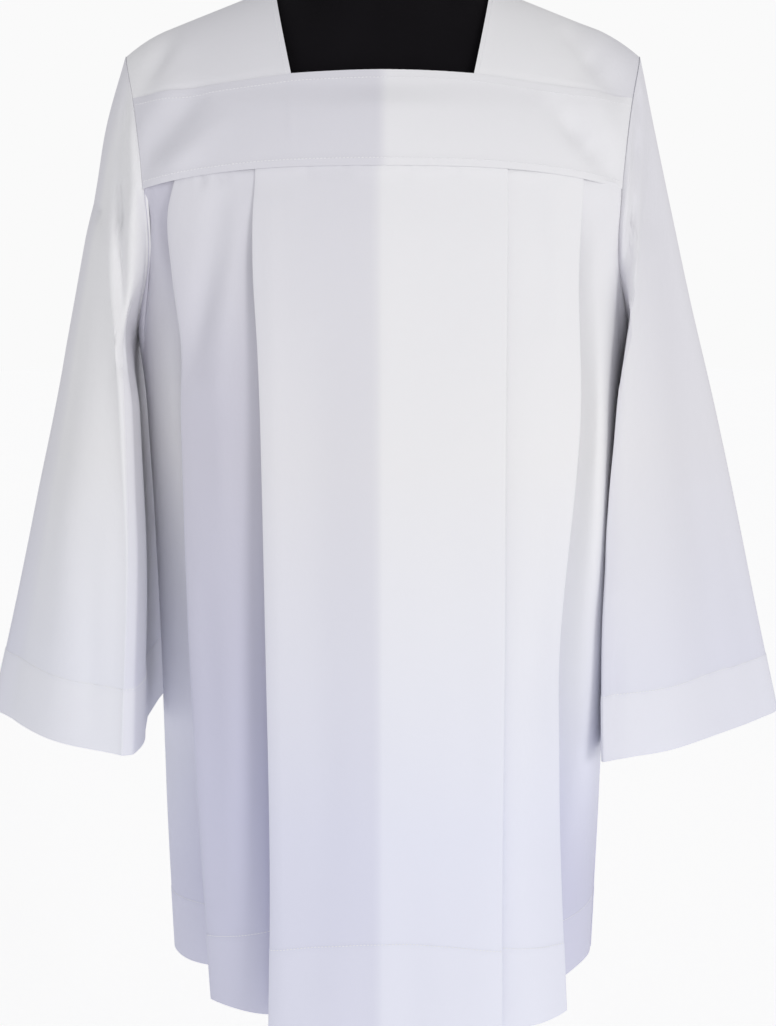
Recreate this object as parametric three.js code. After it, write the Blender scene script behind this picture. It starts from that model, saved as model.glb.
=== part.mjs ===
// A square-necked rochet worn by a limbless dress form that stands on a disc foot.
// Millimetres. +Z is up from the floor, -Y is the front and +X is the wearer's left.
//
// The cloth is a set of thin walls. Each wall is a grid of points on the middle of the cloth, moved
// out and in by half its thickness. Front and back hang from a squared yoke in knife pleats that
// face away from the centre; the sleeves are open cones set into the armholes.
import * as THREE from "three";

const CLOTH = 1.2; // thickness of every cloth wall
const SEAM = 0.3; // clear gap between two pieces at a seam
const FRONT = -1; // the sign of Y on the front and on the back
const BACK = 1;
const RIGHT = -1; // the sign of X on the wearer's right and left
const LEFT = 1;

// ---- Driving heights and widths ----
const HEM_Z = 492;
const NECK_POINT = { x: 96, z: 1430 }; // where the shoulder line meets the neck edge
const SHOULDER_TIP = { x: 231, z: 1370 };
const SHOULDER_SLOPE = 0.383; // fall of the shoulder line for each millimetre outwards
const TIP_ROUND = 38; // length over which the shoulder line rounds off
const ARMPIT_Z = 1120;
const YOKE_CORNER_Z = 1254; // where the yoke's lower seam meets the armhole
const ARCH_FOOT_Z = 1250; // the yoke hangs straight down from here
const CHEST_HALF_WIDTH = 245;
const CHEST_POWER = 2.4;
const ARCH_POWER = 1.7; // roundness of the yoke from front to back, 2 is an ellipse
const CHEST_DEPTH = { [FRONT]: 120, [BACK]: 112 };
const NECK_CORNER_X = 78; // half the neckline's front edge

// ---- Cloth pleats ----
const LAYER = 2; // from the middle of one pressed layer to the middle of the next
const PLEATS = [
  // fold: the station whose edge is folded; tuck: how far the underlay goes back, in stations
  { fold: 1, tuck: 0.36 },
  { fold: 2, tuck: 0.44 },
];
const SEAM_REACH = 90; // how far below its top edge a panel still follows that edge

const lerp = (a, b, t) => a + (b - a) * t;
const clamp01 = (t) => Math.min(1, Math.max(0, t));
const smooth = (t) => clamp01(t) ** 2 * (3 - 2 * clamp01(t));

// A short table with named columns. The first column is the key and runs upwards.
function table(names, rows) {
  return { names: names.split(" "), rows };
}

// A column's value at a key, on a smooth curve through the rows.
function read({ names, rows }, name, key) {
  const c = names.indexOf(name);
  if (key <= rows[0][0]) return rows[0][c];
  const last = rows.length - 1;
  if (key >= rows[last][0]) return rows[last][c];
  const i = rows.findIndex((r) => r[0] > key) - 1;
  const slope = (k) => {
    const a = rows[Math.max(0, k - 1)];
    const b = rows[Math.min(last, k + 1)];
    return (b[c] - a[c]) / (b[0] - a[0]);
  };
  const step = rows[i + 1][0] - rows[i][0];
  const t = (key - rows[i][0]) / step;
  return (
    rows[i][c] * (1 + 2 * t) * (1 - t) ** 2 +
    slope(i) * step * t * (1 - t) ** 2 +
    rows[i + 1][c] * t * t * (3 - 2 * t) +
    slope(i + 1) * step * t * t * (t - 1)
  );
}

// How far out the armhole seam lies at each height.
const ARMHOLE = table("z x", [
  [1120, 227],
  [1150, 219],
  [1180, 211],
  [1215, 208],
  [1260, 210],
  [1300, 214.5],
  [1335, 221],
  [1370, 231],
]);

// The stations of a pleated panel's outer line: centre, two pleat folds, armhole corner, side seam.
// open1 and open2 say how far each pleat has fallen open.
const STATIONS =
  "z centreY fold1X fold1Y open1 fold2X fold2Y open2 cornerX cornerY sideX sideY";
const PANELS = {
  [FRONT]: {
    [RIGHT]: table(STATIONS, [
      [492, -168, 104, -164, 66, 164, -94, 84, 200, -34, 212, 22],
      [650, -160, 101, -154, 48, 170, -96, 64, 204, -38, 216, 16],
      [850, -148, 102.5, -142, 28, 176, -98, 42, 206, -42, 217, 12],
      [1050, -137, 105, -130, 10, 178, -99, 20, 211, -54, 222, 8],
      [1121, -132, 107, -126, 6, 177, -98, 14, 212.5, -55, 225.5, 6],
      [1180, -128, 110, -121, 3, 183, -96, 9, 213, -58, 227, 4],
      [1264, -121, 108, -113, 0, 179, -92, 0, 210, -74, 229, 3],
    ]),
    [LEFT]: table(STATIONS, [
      [492, -168, 108, -164, 6, 173, -113, 52, 200, -46, 211, 18],
      [650, -160, 107, -155, 4, 164, -107, 24, 202, -64, 214, 14],
      [750, -154, 107, -149, 3.5, 161, -105, 14, 202, -78, 214.5, 12],
      [850, -148, 107, -143, 3, 160, -103, 10, 202, -84, 215, 9],
      [1050, -137, 106, -131, 2, 174, -100, 6, 202, -83, 221, 6],
      [1180, -128, 106, -121, 1, 170, -98, 4, 205, -74, 227, 4],
      [1264, -121, 106, -113, 0, 173, -94, 0, 210, -74, 229, 3],
    ]),
  },
  [BACK]: {
    [RIGHT]: table(STATIONS, [
      [492, 150, 98, 144, 34, 162, 100, 44, 199, 58, 212, 22],
      [650, 138, 97, 133, 26, 163, 96, 34, 203, 54, 216, 16],
      [850, 126, 98, 121, 17, 166, 92, 24, 206, 52, 217, 12],
      [1050, 117, 100, 111, 8, 170, 88, 12, 212, 50, 222, 8],
      [1180, 116, 101, 109, 3, 170, 88, 4, 214, 54, 227, 4],
      [1264, 113, 100, 106, 0, 168, 88, 0, 210, 69, 229, 3],
    ]),
    [LEFT]: table(STATIONS, [
      [492, 150, 101, 143, 40, 166, 98, 38, 199, 56, 211, 18],
      [650, 138, 100, 132, 30, 166, 95, 30, 202, 53, 214, 14],
      [850, 126, 100, 121, 19, 167, 92, 21, 205, 51, 215, 10],
      [1050, 117, 100, 111, 9, 170, 88, 11, 212, 50, 221, 8],
      [1180, 116, 100, 109, 3, 170, 88, 4, 214, 54, 227, 4],
      [1264, 113, 100, 106, 0, 168, 88, 0, 210, 69, 229, 3],
    ]),
  },
};
const STATION_NAMES = ["fold1", "fold2", "corner", "side"];

// A sleeve's rings from the armhole, 0, to its hem, 1. Each ring is a rounded polygon: the outer
// edge, a front and a back corner, and the inner side. A share runs from the inner side out.
const RINGS =
  "t outerX outerY outerZ innerX innerZ frontShare frontY frontBulge backShare backY backBulge";
const SLEEVES = {
  [RIGHT]: table(RINGS, [
    [0, 232, 0, 1370, 231, 1121, 0.3, -92, 8, 0.3, 88, 8],
    [0.1, 251, 0, 1310, 232, 1083, 0.14, -94, 10, 0.1, 92, 10],
    [0.2, 263, 1, 1251, 232, 1045, 0.07, -96, 13, -0.1, 98, 12],
    [0.35, 284, 3, 1153, 231, 989, 0.04, -99, 16, -0.16, 108, 14],
    [0.5, 306, 6, 1056, 230, 933, 0.03, -102, 18, -0.15, 116, 16],
    [0.65, 331, 10, 960, 230, 877, 0.04, -105, 20, -0.11, 120, 18],
    [0.8, 356, 14, 862, 231, 821, 0.05, -108, 22, -0.08, 124, 20],
    [1, 386, 20, 750, 232, 744, 0.06, -112, 26, -0.05, 126, 22],
  ]),
  [LEFT]: table(RINGS, [
    [0, 232, 0, 1370, 231, 1121, 0.3, -92, 8, 0.3, 88, 8],
    [0.1, 247, 1, 1310, 232, 1083, 0.05, -94, 10, 0.1, 92, 10],
    [0.2, 263, 4, 1247, 232, 1045, -0.12, -96, 12, -0.14, 98, 12],
    [0.35, 288, 9, 1150, 229, 987, -0.16, -101, 12, -0.2, 107, 14],
    [0.5, 315, 16, 1054, 226, 929, -0.15, -106, 13, -0.17, 114, 16],
    [0.65, 341, 24, 956, 223, 871, -0.12, -112, 15, -0.12, 118, 18],
    [0.8, 366, 32, 858, 221, 812, -0.1, -116, 17, -0.08, 120, 20],
    [1, 398, 44, 738, 220, 734, -0.06, -119, 21, -0.03, 122, 22],
  ]),
};
const MID_SHARE = { [RIGHT]: 0.5, [LEFT]: 0.37 }; // where the front's bulge is, from the front corner
const ROUNDING = { outer: 0.2, mid: 0.45, front: 0.26, inner: 0.45, back: 0.2 };
const HEAD_BLEND = 0.16; // share of the sleeve over which the armhole's shape turns into the cone's
// The upright fold beside the armhole seam: a ridge that the seam holds out, then a deep valley.
const HEAD_FOLD = {
  ridge: 3,
  ridgeAt: 0.022,
  ridgeWidth: 0.018,
  valley: -9,
  valleyAt: 0.062,
  valleyWidth: 0.022,
  from: 0.03, // share of the way round the front where the fold starts and ends
  to: 0.36,
};

// The dress form's level outlines, from the flat underside of its hips to the top of its neck.
const FORM = table("z halfWidth front back power", [
  [772, 140, 84, 84, 2.2],
  [800, 154, 94, 92, 2.2],
  [860, 158, 98, 95, 2.2],
  [930, 152, 95, 88, 2.2],
  [1010, 146, 94, 84, 2.2],
  [1090, 156, 102, 88, 2.2],
  [1160, 172, 108, 94, 2.2],
  [1230, 188, 108, 96, 2.1],
  [1300, 202, 101, 92, 2],
  [1345, 208, 91, 85, 1.85],
  [1371, 207, 83, 79, 1.7],
  [1390, 196, 77, 73, 1.6],
  [1408, 150.2, 71, 68, 1.6],
  [1422, 113.7, 68, 65, 1.7],
  [1430, 92.5, 66, 64, 1.8],
  [1437, 76, 64.5, 62, 1.9],
  [1448, 68, 62, 60, 2],
  [1470, 61, 58, 57, 2],
  [1512, 59, 56, 56, 2],
]);
const NECK_CAP = { halfWidth: 56, depth: 53, height: 16 };
const POLE_RADIUS = 15;
const FOOT = { radius: 190, edge: 7, rise: 14, hubRadius: 28, hubTop: 46 };

// ---- The yoke's surface ----

// Height of the shoulder line, which slopes straight down and rounds off at the tip.
function shoulderZ(x) {
  const straight = (at) => NECK_POINT.z - SHOULDER_SLOPE * (at - NECK_POINT.x);
  const roundFrom = SHOULDER_TIP.x - TIP_ROUND;
  const past = Math.max(0, Math.abs(x) - roundFrom) / TIP_ROUND;
  return straight(Math.abs(x)) - (straight(SHOULDER_TIP.x) - SHOULDER_TIP.z) * past ** 2;
}

// How far in front of or behind the shoulder line the yoke lies.
function yokeY(face, x, z) {
  const depth = (1 - Math.abs(x / CHEST_HALF_WIDTH) ** CHEST_POWER) ** (1 / CHEST_POWER);
  const top = shoulderZ(x);
  const up = clamp01((z - ARCH_FOOT_Z) / (top - ARCH_FOOT_Z));
  return face * CHEST_DEPTH[face] * depth * (1 - up ** ARCH_POWER) ** (1 / ARCH_POWER);
}

const armholeX = (z) => read(ARMHOLE, "x", z);
const neckX = (z) => lerp(NECK_CORNER_X, NECK_POINT.x, clamp01((z - 1351) / (NECK_POINT.z - 1351)));

// Height of the seam between the yoke and the pleated panel below it.
function yokeSeamZ(face, x) {
  const centre = face === FRONT ? 1274 : 1264;
  return centre - (centre - YOKE_CORNER_Z) * Math.min(1, Math.abs(x) / 210) ** 3;
}

// Height of the seam between a yoke band and a shoulder piece, from the neck corner outwards.
function strapSeamZ(face, x) {
  const [neck, fall] = face === FRONT ? [1351, 19] : [1386, 38];
  return neck - (fall * Math.max(0, Math.abs(x) - neckX(neck))) / 144;
}

// A point of the armhole seam, from the shoulder tip, 0, to the armpit, 1.
const ARMHOLE_YOKE_SHARE = 0.45;
function armholePoint(side, face, along) {
  if (along <= ARMHOLE_YOKE_SHARE) {
    const turn = ((along / ARMHOLE_YOKE_SHARE) * Math.PI) / 2;
    const z = YOKE_CORNER_Z + (SHOULDER_TIP.z - YOKE_CORNER_Z) * Math.cos(turn) ** (2 / ARCH_POWER);
    return [side * armholeX(z), yokeY(face, armholeX(z), z), z];
  }
  const turn = (((along - ARMHOLE_YOKE_SHARE) / (1 - ARMHOLE_YOKE_SHARE)) * Math.PI) / 2;
  const z = YOKE_CORNER_Z - (YOKE_CORNER_Z - ARMPIT_Z) * Math.sin(turn);
  const depth = yokeY(face, armholeX(YOKE_CORNER_Z), YOKE_CORNER_Z);
  return [side * armholeX(z), lerp(4, depth, Math.cos(turn)), z];
}

// ---- Walls ----

const subtract = (a, b) => a.map((v, i) => v - b[i]);
const cross = (a, b) => [
  a[1] * b[2] - a[2] * b[1],
  a[2] * b[0] - a[0] * b[2],
  a[0] * b[1] - a[1] * b[0],
];
const unit = (a) => {
  const length = Math.hypot(...a);
  return a.map((v) => v / length);
};

function meshFrom(name, positions, faces, material) {
  const geometry = new THREE.BufferGeometry();
  geometry.setAttribute("position", new THREE.Float32BufferAttribute(positions.flat(), 3));
  geometry.setIndex(faces.flat());
  geometry.computeVertexNormals();
  const mesh = new THREE.Mesh(geometry, material);
  mesh.name = name;
  return mesh;
}

// The closed wall round a grid of points on the middle of the cloth. A looped grid's rows are rings.
function wall(name, grid, material, looped = false) {
  const rows = grid.length;
  const columns = grid[0].length;
  const column = (j) => (looped ? (j + columns) % columns : Math.min(columns - 1, Math.max(0, j)));
  const skin = [[], []];
  grid.forEach((row, i) =>
    row.forEach((point, j) => {
      const across = subtract(row[column(j + 1)], row[column(j - 1)]);
      const down = subtract(grid[Math.min(rows - 1, i + 1)][j], grid[Math.max(0, i - 1)][j]);
      const normal = unit(cross(across, down));
      [1, -1].forEach((face, k) =>
        skin[k].push(point.map((v, axis) => v + (face * normal[axis] * CLOTH) / 2)),
      );
    }),
  );
  const at = (k, i, j) => k * rows * columns + i * columns + column(j);
  const faces = [];
  const quad = (a, b, c, d) => faces.push([a, b, c], [a, c, d]);
  const lastColumn = looped ? columns : columns - 1;
  for (let i = 0; i < rows - 1; i++)
    for (let j = 0; j < lastColumn; j++) {
      quad(at(0, i, j), at(0, i, j + 1), at(0, i + 1, j + 1), at(0, i + 1, j));
      quad(at(1, i, j), at(1, i + 1, j), at(1, i + 1, j + 1), at(1, i, j + 1));
    }
  for (let j = 0; j < lastColumn; j++) {
    quad(at(0, 0, j), at(1, 0, j), at(1, 0, j + 1), at(0, 0, j + 1));
    quad(at(0, rows - 1, j), at(0, rows - 1, j + 1), at(1, rows - 1, j + 1), at(1, rows - 1, j));
  }
  if (!looped)
    for (let i = 0; i < rows - 1; i++) {
      quad(at(0, i, 0), at(0, i + 1, 0), at(1, i + 1, 0), at(1, i, 0));
      const j = columns - 1;
      quad(at(0, i, j), at(1, i, j), at(1, i + 1, j), at(0, i + 1, j));
    }
  return meshFrom(name, skin.flat(), faces, material);
}

// The closed solid through level rings of equal length, lowest first.
function loft(name, rings, material) {
  const size = rings[0].length;
  const points = rings.flat();
  const at = (i, j) => i * size + (j % size);
  const faces = [];
  for (let i = 0; i < rings.length - 1; i++)
    for (let j = 0; j < size; j++)
      faces.push([at(i, j), at(i, j + 1), at(i + 1, j + 1)], [at(i, j), at(i + 1, j + 1), at(i + 1, j)]);
  [0, rings.length - 1].forEach((i, k) => {
    const centre = points.push([0, 0, rings[i][0][2]]) - 1;
    for (let j = 0; j < size; j++)
      faces.push(k ? [centre, at(i, j), at(i, j + 1)] : [centre, at(i, j + 1), at(i, j)]);
  });
  return meshFrom(name, points, faces, material);
}

// Evenly spaced numbers from a to b, both included.
const spaced = (a, b, steps) => Array.from({ length: steps + 1 }, (_, i) => lerp(a, b, i / steps));

// ---- The pleated front and back ----

// The outer line of half a panel at one height: a smooth curve through its stations, 0 to 4.
function outerLine(face, side, station, z) {
  const rows = PANELS[face][side];
  const get = (name) => read(rows, name, z);
  const points = [
    [-get("fold1X"), get("fold1Y")],
    [0, get("centreY")],
    ...STATION_NAMES.map((name) => [get(name + "X"), get(name + "Y")]),
    [get("cornerX"), 2 * get("sideY") - get("cornerY")],
  ];
  const i = Math.min(STATION_NAMES.length - 1, Math.floor(station));
  const t = station - i;
  const [a, b, c, d] = points.slice(i, i + 4);
  return [0, 1].map(
    (k) =>
      0.5 *
      (2 * b[k] +
        (c[k] - a[k]) * t +
        (2 * a[k] - 5 * b[k] + 4 * c[k] - d[k]) * t ** 2 +
        (3 * b[k] - a[k] - 3 * c[k] + d[k]) * t ** 3),
  );
}

// The top edge of a panel at a station: the yoke seam as far as the armhole, then the armhole.
const CORNER_STATION = 3;
function topEdge(face, side, station) {
  if (station > CORNER_STATION) {
    const along = lerp(ARMHOLE_YOKE_SHARE, 1, station - CORNER_STATION);
    const [x, y, z] = armholePoint(1, face, along);
    return [x, y, z];
  }
  const [rawX] = outerLine(face, side, station, YOKE_CORNER_Z + 10);
  const [cornerX] = outerLine(face, side, CORNER_STATION, YOKE_CORNER_Z + 10);
  const x = (rawX * armholeX(YOKE_CORNER_Z)) / cornerX;
  const z = yokeSeamZ(face, x);
  return [x, yokeY(face, x, z), z - SEAM / 2];
}

// A point of half a panel. inset is how far it lies behind the outer line, slide how far along it.
function panelPoint(face, side, station, inset, slide, down) {
  const top = topEdge(face, side, station);
  const z = lerp(top[2], HEM_Z, down);
  const step = 0.02;
  const ahead = outerLine(face, side, Math.min(4, station + step), z);
  const behind = outerLine(face, side, Math.max(0, station - step), z);
  const here = outerLine(face, side, station, z);
  const length = Math.hypot(ahead[0] - behind[0], ahead[1] - behind[1]);
  const along = [(ahead[0] - behind[0]) / length, (ahead[1] - behind[1]) / length];
  const inwards = [face * along[1], -face * along[0]];
  const atTop = outerLine(face, side, station, top[2]);
  const hold = (1 - smooth((top[2] - z) / SEAM_REACH)) ** 2;
  const point = [0, 1].map(
    (k) => here[k] + (top[k] - atTop[k]) * hold + inwards[k] * inset + along[k] * slide,
  );
  return [side * point[0], point[1], z];
}

// The columns of half a panel from the centre to the side seam, each a function of z.
function halfColumns(face, side, detail) {
  const open = (k, z) => read(PANELS[face][side], `open${k}`, z);
  const columns = [];
  let from = 0;
  let covered = null; // the pleat that covers this stretch's start
  // How far a panel that starts under a pleat lies behind the outer line.
  const behindFold = (pleat, station, next) => (z) => {
    if (!pleat) return 0;
    const start = pleat.fold - pleat.tuck;
    const t = (station - start) / (next - start);
    const pressed = 2 * LAYER * (1 - smooth((station - pleat.fold) / 0.35));
    return pressed + open(pleat.fold, z) * (1 - smooth(t));
  };
  const arc = (station, first, outwards) =>
    spaced(0, Math.PI, detail.fold)
      .slice(1, -1)
      .forEach((turn) =>
        columns.push({
          station,
          inset: (z) => first(z) + (LAYER / 2) * (1 - Math.cos(turn)),
          slide: (outwards * LAYER * Math.sin(turn)) / 2,
        }),
      );
  for (const pleat of PLEATS) {
    const stations = spaced(from, pleat.fold, detail.panel);
    stations.forEach((station) =>
      columns.push({ station, inset: behindFold(covered, station, pleat.fold), slide: 0 }),
    );
    arc(pleat.fold, () => 0, 1);
    const back = pleat.fold - pleat.tuck;
    spaced(0, 1, detail.tuck).forEach((t) =>
      columns.push({
        station: lerp(pleat.fold, back, t),
        inset: (z) => LAYER + open(pleat.fold, z) * t,
        slide: 0,
      }),
    );
    arc(back, (z) => LAYER + open(pleat.fold, z), -1);
    from = back;
    covered = pleat;
  }
  const seam = STATION_NAMES.length;
  const last = [
    ...spaced(from, CORNER_STATION, detail.panel),
    ...spaced(CORNER_STATION, seam - NEAR_SEAM, detail.side).slice(1),
    seam,
  ];
  last.forEach((station) =>
    columns.push({ station, inset: behindFold(covered, station, seam), slide: 0 }),
  );
  return columns;
}

// A row whose first and last points are moved in by half a seam's gap.
function trimmed(row) {
  const pull = (end, next) => {
    const way = subtract(next, end);
    return end.map((v, i) => v + (way[i] * SEAM) / 2 / Math.hypot(...way));
  };
  const n = row.length;
  return [pull(row[0], row[1]), ...row.slice(1, -1), pull(row[n - 1], row[n - 2])];
}

const PANEL_DETAIL = { panel: 5, fold: 3, tuck: 3, side: 4 };
const PANEL_ROWS = [0, 0.03, 0.08, 0.16, 0.28, 0.44, 0.62, 0.81, 1];
const NEAR_SEAM = 0.04; // stations from the side seam to the column beside it

function panelGrid(face) {
  const half = (side) =>
    halfColumns(face, side, PANEL_DETAIL).map((column) => (down) => {
      const z = panelPoint(face, side, column.station, 0, 0, down)[2];
      return panelPoint(face, side, column.station, column.inset(z), column.slide, down);
    });
  const columns = [...half(RIGHT).slice(1).reverse(), ...half(LEFT)];
  return PANEL_ROWS.map((down) => trimmed(columns.map((column) => column(down))));
}

// ---- The yoke's four pieces ----

function bandGrid(face) {
  const outerSteps = 6;
  const neckSteps = 6;
  const half = [
    ...spaced(0, NECK_CORNER_X, neckSteps),
    ...spaced(NECK_CORNER_X, armholeX(1332), outerSteps).slice(1),
  ];
  const columns = [...half.slice(1).reverse().map((x) => -x), ...half];
  const cornerX = neckX(strapSeamZ(face, 0));
  return spaced(0, 1, 4).map((up) =>
    columns.map((raw) => {
      const side = Math.sign(raw) || 1;
      const share = (Math.abs(raw) - NECK_CORNER_X) / (armholeX(1332) - NECK_CORNER_X);
      const inner = (Math.abs(raw) * cornerX) / NECK_CORNER_X;
      let x = inner;
      let z = 0;
      for (let pass = 0; pass < 6; pass++) {
        const neckRise = 3 * (1 - (Math.min(inner, cornerX) / cornerX) ** 2);
        const top = share > 0 ? strapSeamZ(face, x) - SEAM / 2 : strapSeamZ(face, 0) + neckRise;
        z = lerp(yokeSeamZ(face, x) + SEAM, top, up);
        x = share > 0 ? lerp(cornerX, armholeX(z), share) : inner;
      }
      return [side * x, yokeY(face, x, z), z];
    }),
  );
}

// A point of a shoulder piece: across from neck to armhole, along from the front seam, -1, to the back, 1.
function shoulderPoint(side, across, along) {
  const face = along < 0 ? FRONT : BACK;
  let x = lerp(NECK_POINT.x, SHOULDER_TIP.x, across);
  let z = 0;
  for (let pass = 0; pass < 8; pass++) {
    const rise = shoulderZ(x) - ARCH_FOOT_Z;
    const seam = (strapSeamZ(face, x) + SEAM - ARCH_FOOT_Z) / rise;
    const turn = Math.abs(along) * Math.acos(clamp01(seam) ** (ARCH_POWER / 2));
    z = ARCH_FOOT_Z + rise * Math.cos(turn) ** (2 / ARCH_POWER);
    x = lerp(neckX(z), armholeX(Math.min(z, SHOULDER_TIP.z)), across);
  }
  return [side * x, yokeY(face, x, z), z];
}

function shoulderGrid(side) {
  const acrossSteps = 6;
  const alongSteps = 12;
  return spaced(-1, 1, alongSteps).map((along) =>
    spaced(0, 1, acrossSteps).map((across) => shoulderPoint(side, across, along)),
  );
}

// ---- Sleeves ----

// A point of a closed polygon with rounded corners; at corner k, turn is k. rounds is the share of
// each side that a corner's rounding takes.
function roundedPolygon(corners, rounds, turn) {
  const n = corners.length;
  const mix = (a, b, t) => a.map((v, i) => lerp(v, b[i], t));
  const k = Math.round(turn) % n;
  const offset = turn - Math.round(turn);
  const towards = (from, to) => mix(corners[(from + n) % n], corners[(to + n) % n], rounds[(from + n) % n]);
  if (Math.abs(offset) <= 0.25) {
    const t = (offset + 0.25) / 0.5;
    const into = mix(towards(k, k - 1), corners[k], t);
    return mix(into, mix(corners[k], towards(k, k + 1), t), t);
  }
  const i = Math.floor(turn) % n;
  return mix(towards(i, i + 1), towards(i + 1, i), (turn - Math.floor(turn) - 0.25) / 0.5);
}

// A point of a sleeve: round from 0 at the outer edge by the front to 1, t from armhole to hem.
function sleevePoint(side, round, t) {
  const get = (name) => read(SLEEVES[side], name, t);
  const edge = [get("outerX"), get("outerY"), get("outerZ")];
  const inner = [get("innerX"), 0, get("innerZ")];
  const corner = (share, y) => [lerp(inner[0], edge[0], share), y, lerp(inner[2], edge[2], share)];
  const front = corner(get("frontShare"), get("frontY"));
  const back = corner(get("backShare"), get("backY"));
  const r = ROUNDING;
  // The outer corner stands out so far that its rounding comes back to the outer edge.
  const middle = front.map((v, i) => (v + back[i]) / 2);
  const outer = edge.map((v, i) => (i === 1 ? v : v + ((v - middle[i]) * r.outer) / (4 - r.outer)));
  const between = (end, share, bulge) =>
    outer.map((v, i) => lerp(end[i], v, share) + (i === 1 ? bulge : 0));
  const cone = roundedPolygon(
    [
      outer,
      between(front, MID_SHARE[side], -get("frontBulge")),
      front,
      inner,
      back,
      between(back, 0.5, get("backBulge")),
    ],
    [r.outer, r.mid, r.front, r.inner, r.back, r.mid],
    round * 6,
  );
  // Near the head the ring keeps the armhole's shape, carried along by the outer and inner edges.
  const face = round <= 0.5 ? FRONT : BACK;
  const seam = armholePoint(1, face, 1 - Math.abs(1 - 2 * round));
  const lowness = (1 - Math.cos(2 * Math.PI * round)) / 2;
  const start = (name) => SLEEVES[side].rows[0][SLEEVES[side].names.indexOf(name)];
  const carried = [
    seam[0] + lerp(edge[0] - start("outerX"), inner[0] - start("innerX"), lowness),
    seam[1],
    seam[2] + lerp(edge[2] - start("outerZ"), inner[2] - start("innerZ"), lowness),
  ];
  const blend = smooth(t / HEAD_BLEND);
  const [x, y, z] = carried.map((v, i) => lerp(v, cone[i], blend));
  const head = SEAM + CLOTH / 2 + lowness; // the first ring stands this far out from the seam
  return [side * (x + head * (1 - blend)), y + headFold(round, t), z];
}

// How far the upright fold beside the armhole moves the sleeve's front towards -Y or +Y.
function headFold(round, t) {
  const f = HEAD_FOLD;
  if (round <= f.from || round >= f.to) return 0;
  const span = Math.sin((Math.PI * (round - f.from)) / (f.to - f.from));
  const bell = (centre, width) => Math.exp(-(((t - centre) / width) ** 2));
  return -span * (f.ridge * bell(f.ridgeAt, f.ridgeWidth) + f.valley * bell(f.valleyAt, f.valleyWidth));
}

const SLEEVE_RINGS = [0, 0.022, 0.042, 0.062, 0.09, 0.14, 0.22, 0.33, 0.46, 0.6, 0.75, 0.88, 1];
const SLEEVE_STEPS = 30;

function sleeveGrid(side) {
  const round = spaced(0, 1, SLEEVE_STEPS).slice(0, -1);
  return SLEEVE_RINGS.map((t) => round.map((r) => sleevePoint(side, r, t)));
}

// ---- The dress form and its stand ----

// A form depth kept clear of the yoke over it. Inside the neck there is no cloth to clear.
function underYoke(depth, face, x, z) {
  const clear = 0.97 * Math.abs(yokeY(face, Math.abs(x) + 3.2, z));
  const reach = z > NECK_POINT.z ? 0 : smooth((Math.abs(x) - 36) / 24);
  return lerp(depth, Math.min(depth, clear), reach);
}

function formRing(z, halfWidth, front, back, power) {
  const steps = 32;
  return spaced(0, 2 * Math.PI, steps)
    .slice(0, -1)
    .map((turn) => {
      const [c, s] = [Math.cos(turn), Math.sin(turn)];
      const face = s < 0 ? FRONT : BACK;
      const depth = s < 0 ? front : back;
      const x = halfWidth * Math.sign(c) * Math.abs(c) ** (2 / power);
      const y = depth * Math.abs(s) ** (2 / power);
      return [x, face * underYoke(y, face, x, z), z];
    });
}

function torso(material) {
  const rings = FORM.rows.map(([z, ...sizes]) => formRing(z, ...sizes));
  return loft("form_torso", rings, material);
}

function neckCap(material) {
  const foot = FORM.rows[FORM.rows.length - 1][0] + SEAM;
  const { halfWidth, depth, height } = NECK_CAP;
  const ring = ([rise, share]) =>
    formRing(foot + rise * height, halfWidth * share, depth * share, depth * share, 2);
  const rings = [
    [0, 1],
    [0.55, 1],
    [0.85, 0.93],
    [1, 0.75],
  ].map(ring);
  return loft("form_neck_cap", rings, material);
}

function pole(material) {
  const foot = FOOT.hubTop + SEAM;
  const height = FORM.rows[0][0] - SEAM - foot;
  const geometry = new THREE.CylinderGeometry(POLE_RADIUS, POLE_RADIUS, height, 24);
  const mesh = new THREE.Mesh(geometry, material);
  mesh.name = "form_pole";
  mesh.rotation.x = Math.PI / 2;
  mesh.position.z = foot + height / 2;
  return mesh;
}

function foot(material) {
  const { radius, edge, rise, hubRadius, hubTop } = FOOT;
  const profile = [
    [0, 0],
    [radius - 2, 0],
    [radius, 2],
    [radius, edge - 2],
    [radius - 3, edge],
    [hubRadius + 8, rise],
    [hubRadius, rise + 6],
    [hubRadius - 2, hubTop],
    [0, hubTop],
  ].map(([r, z]) => new THREE.Vector2(r, z));
  const mesh = new THREE.Mesh(new THREE.LatheGeometry(profile, 48), material);
  mesh.name = "form_foot";
  mesh.rotation.x = Math.PI / 2;
  return mesh;
}

// ---- Materials and assembly ----

const surface = (color, roughness, metalness) =>
  new THREE.MeshStandardMaterial({ color, roughness, metalness });
const cloth = () => surface("#eeeef4", 0.8, 0);
const cover = () => surface("#0c0b10", 0.9, 0);
const steel = () => surface("#1b1b1e", 0.4, 0.6);

const part = new THREE.Group();
part.add(
  wall("front", panelGrid(FRONT), cloth()),
  wall("back", panelGrid(BACK), cloth()),
  wall("yoke_front", bandGrid(FRONT), cloth()),
  wall("yoke_back", bandGrid(BACK), cloth()),
  wall("shoulder_right", shoulderGrid(RIGHT), cloth()),
  wall("shoulder_left", shoulderGrid(LEFT), cloth()),
  wall("sleeve_right", sleeveGrid(RIGHT), cloth(), true),
  wall("sleeve_left", sleeveGrid(LEFT), cloth(), true),
  torso(cover()),
  neckCap(cover()),
  pole(steel()),
  foot(steel()),
);

export default part;
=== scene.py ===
"""A square-necked rochet in pleated white cloth on a limbless dress form, with a small studio."""

import math

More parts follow.
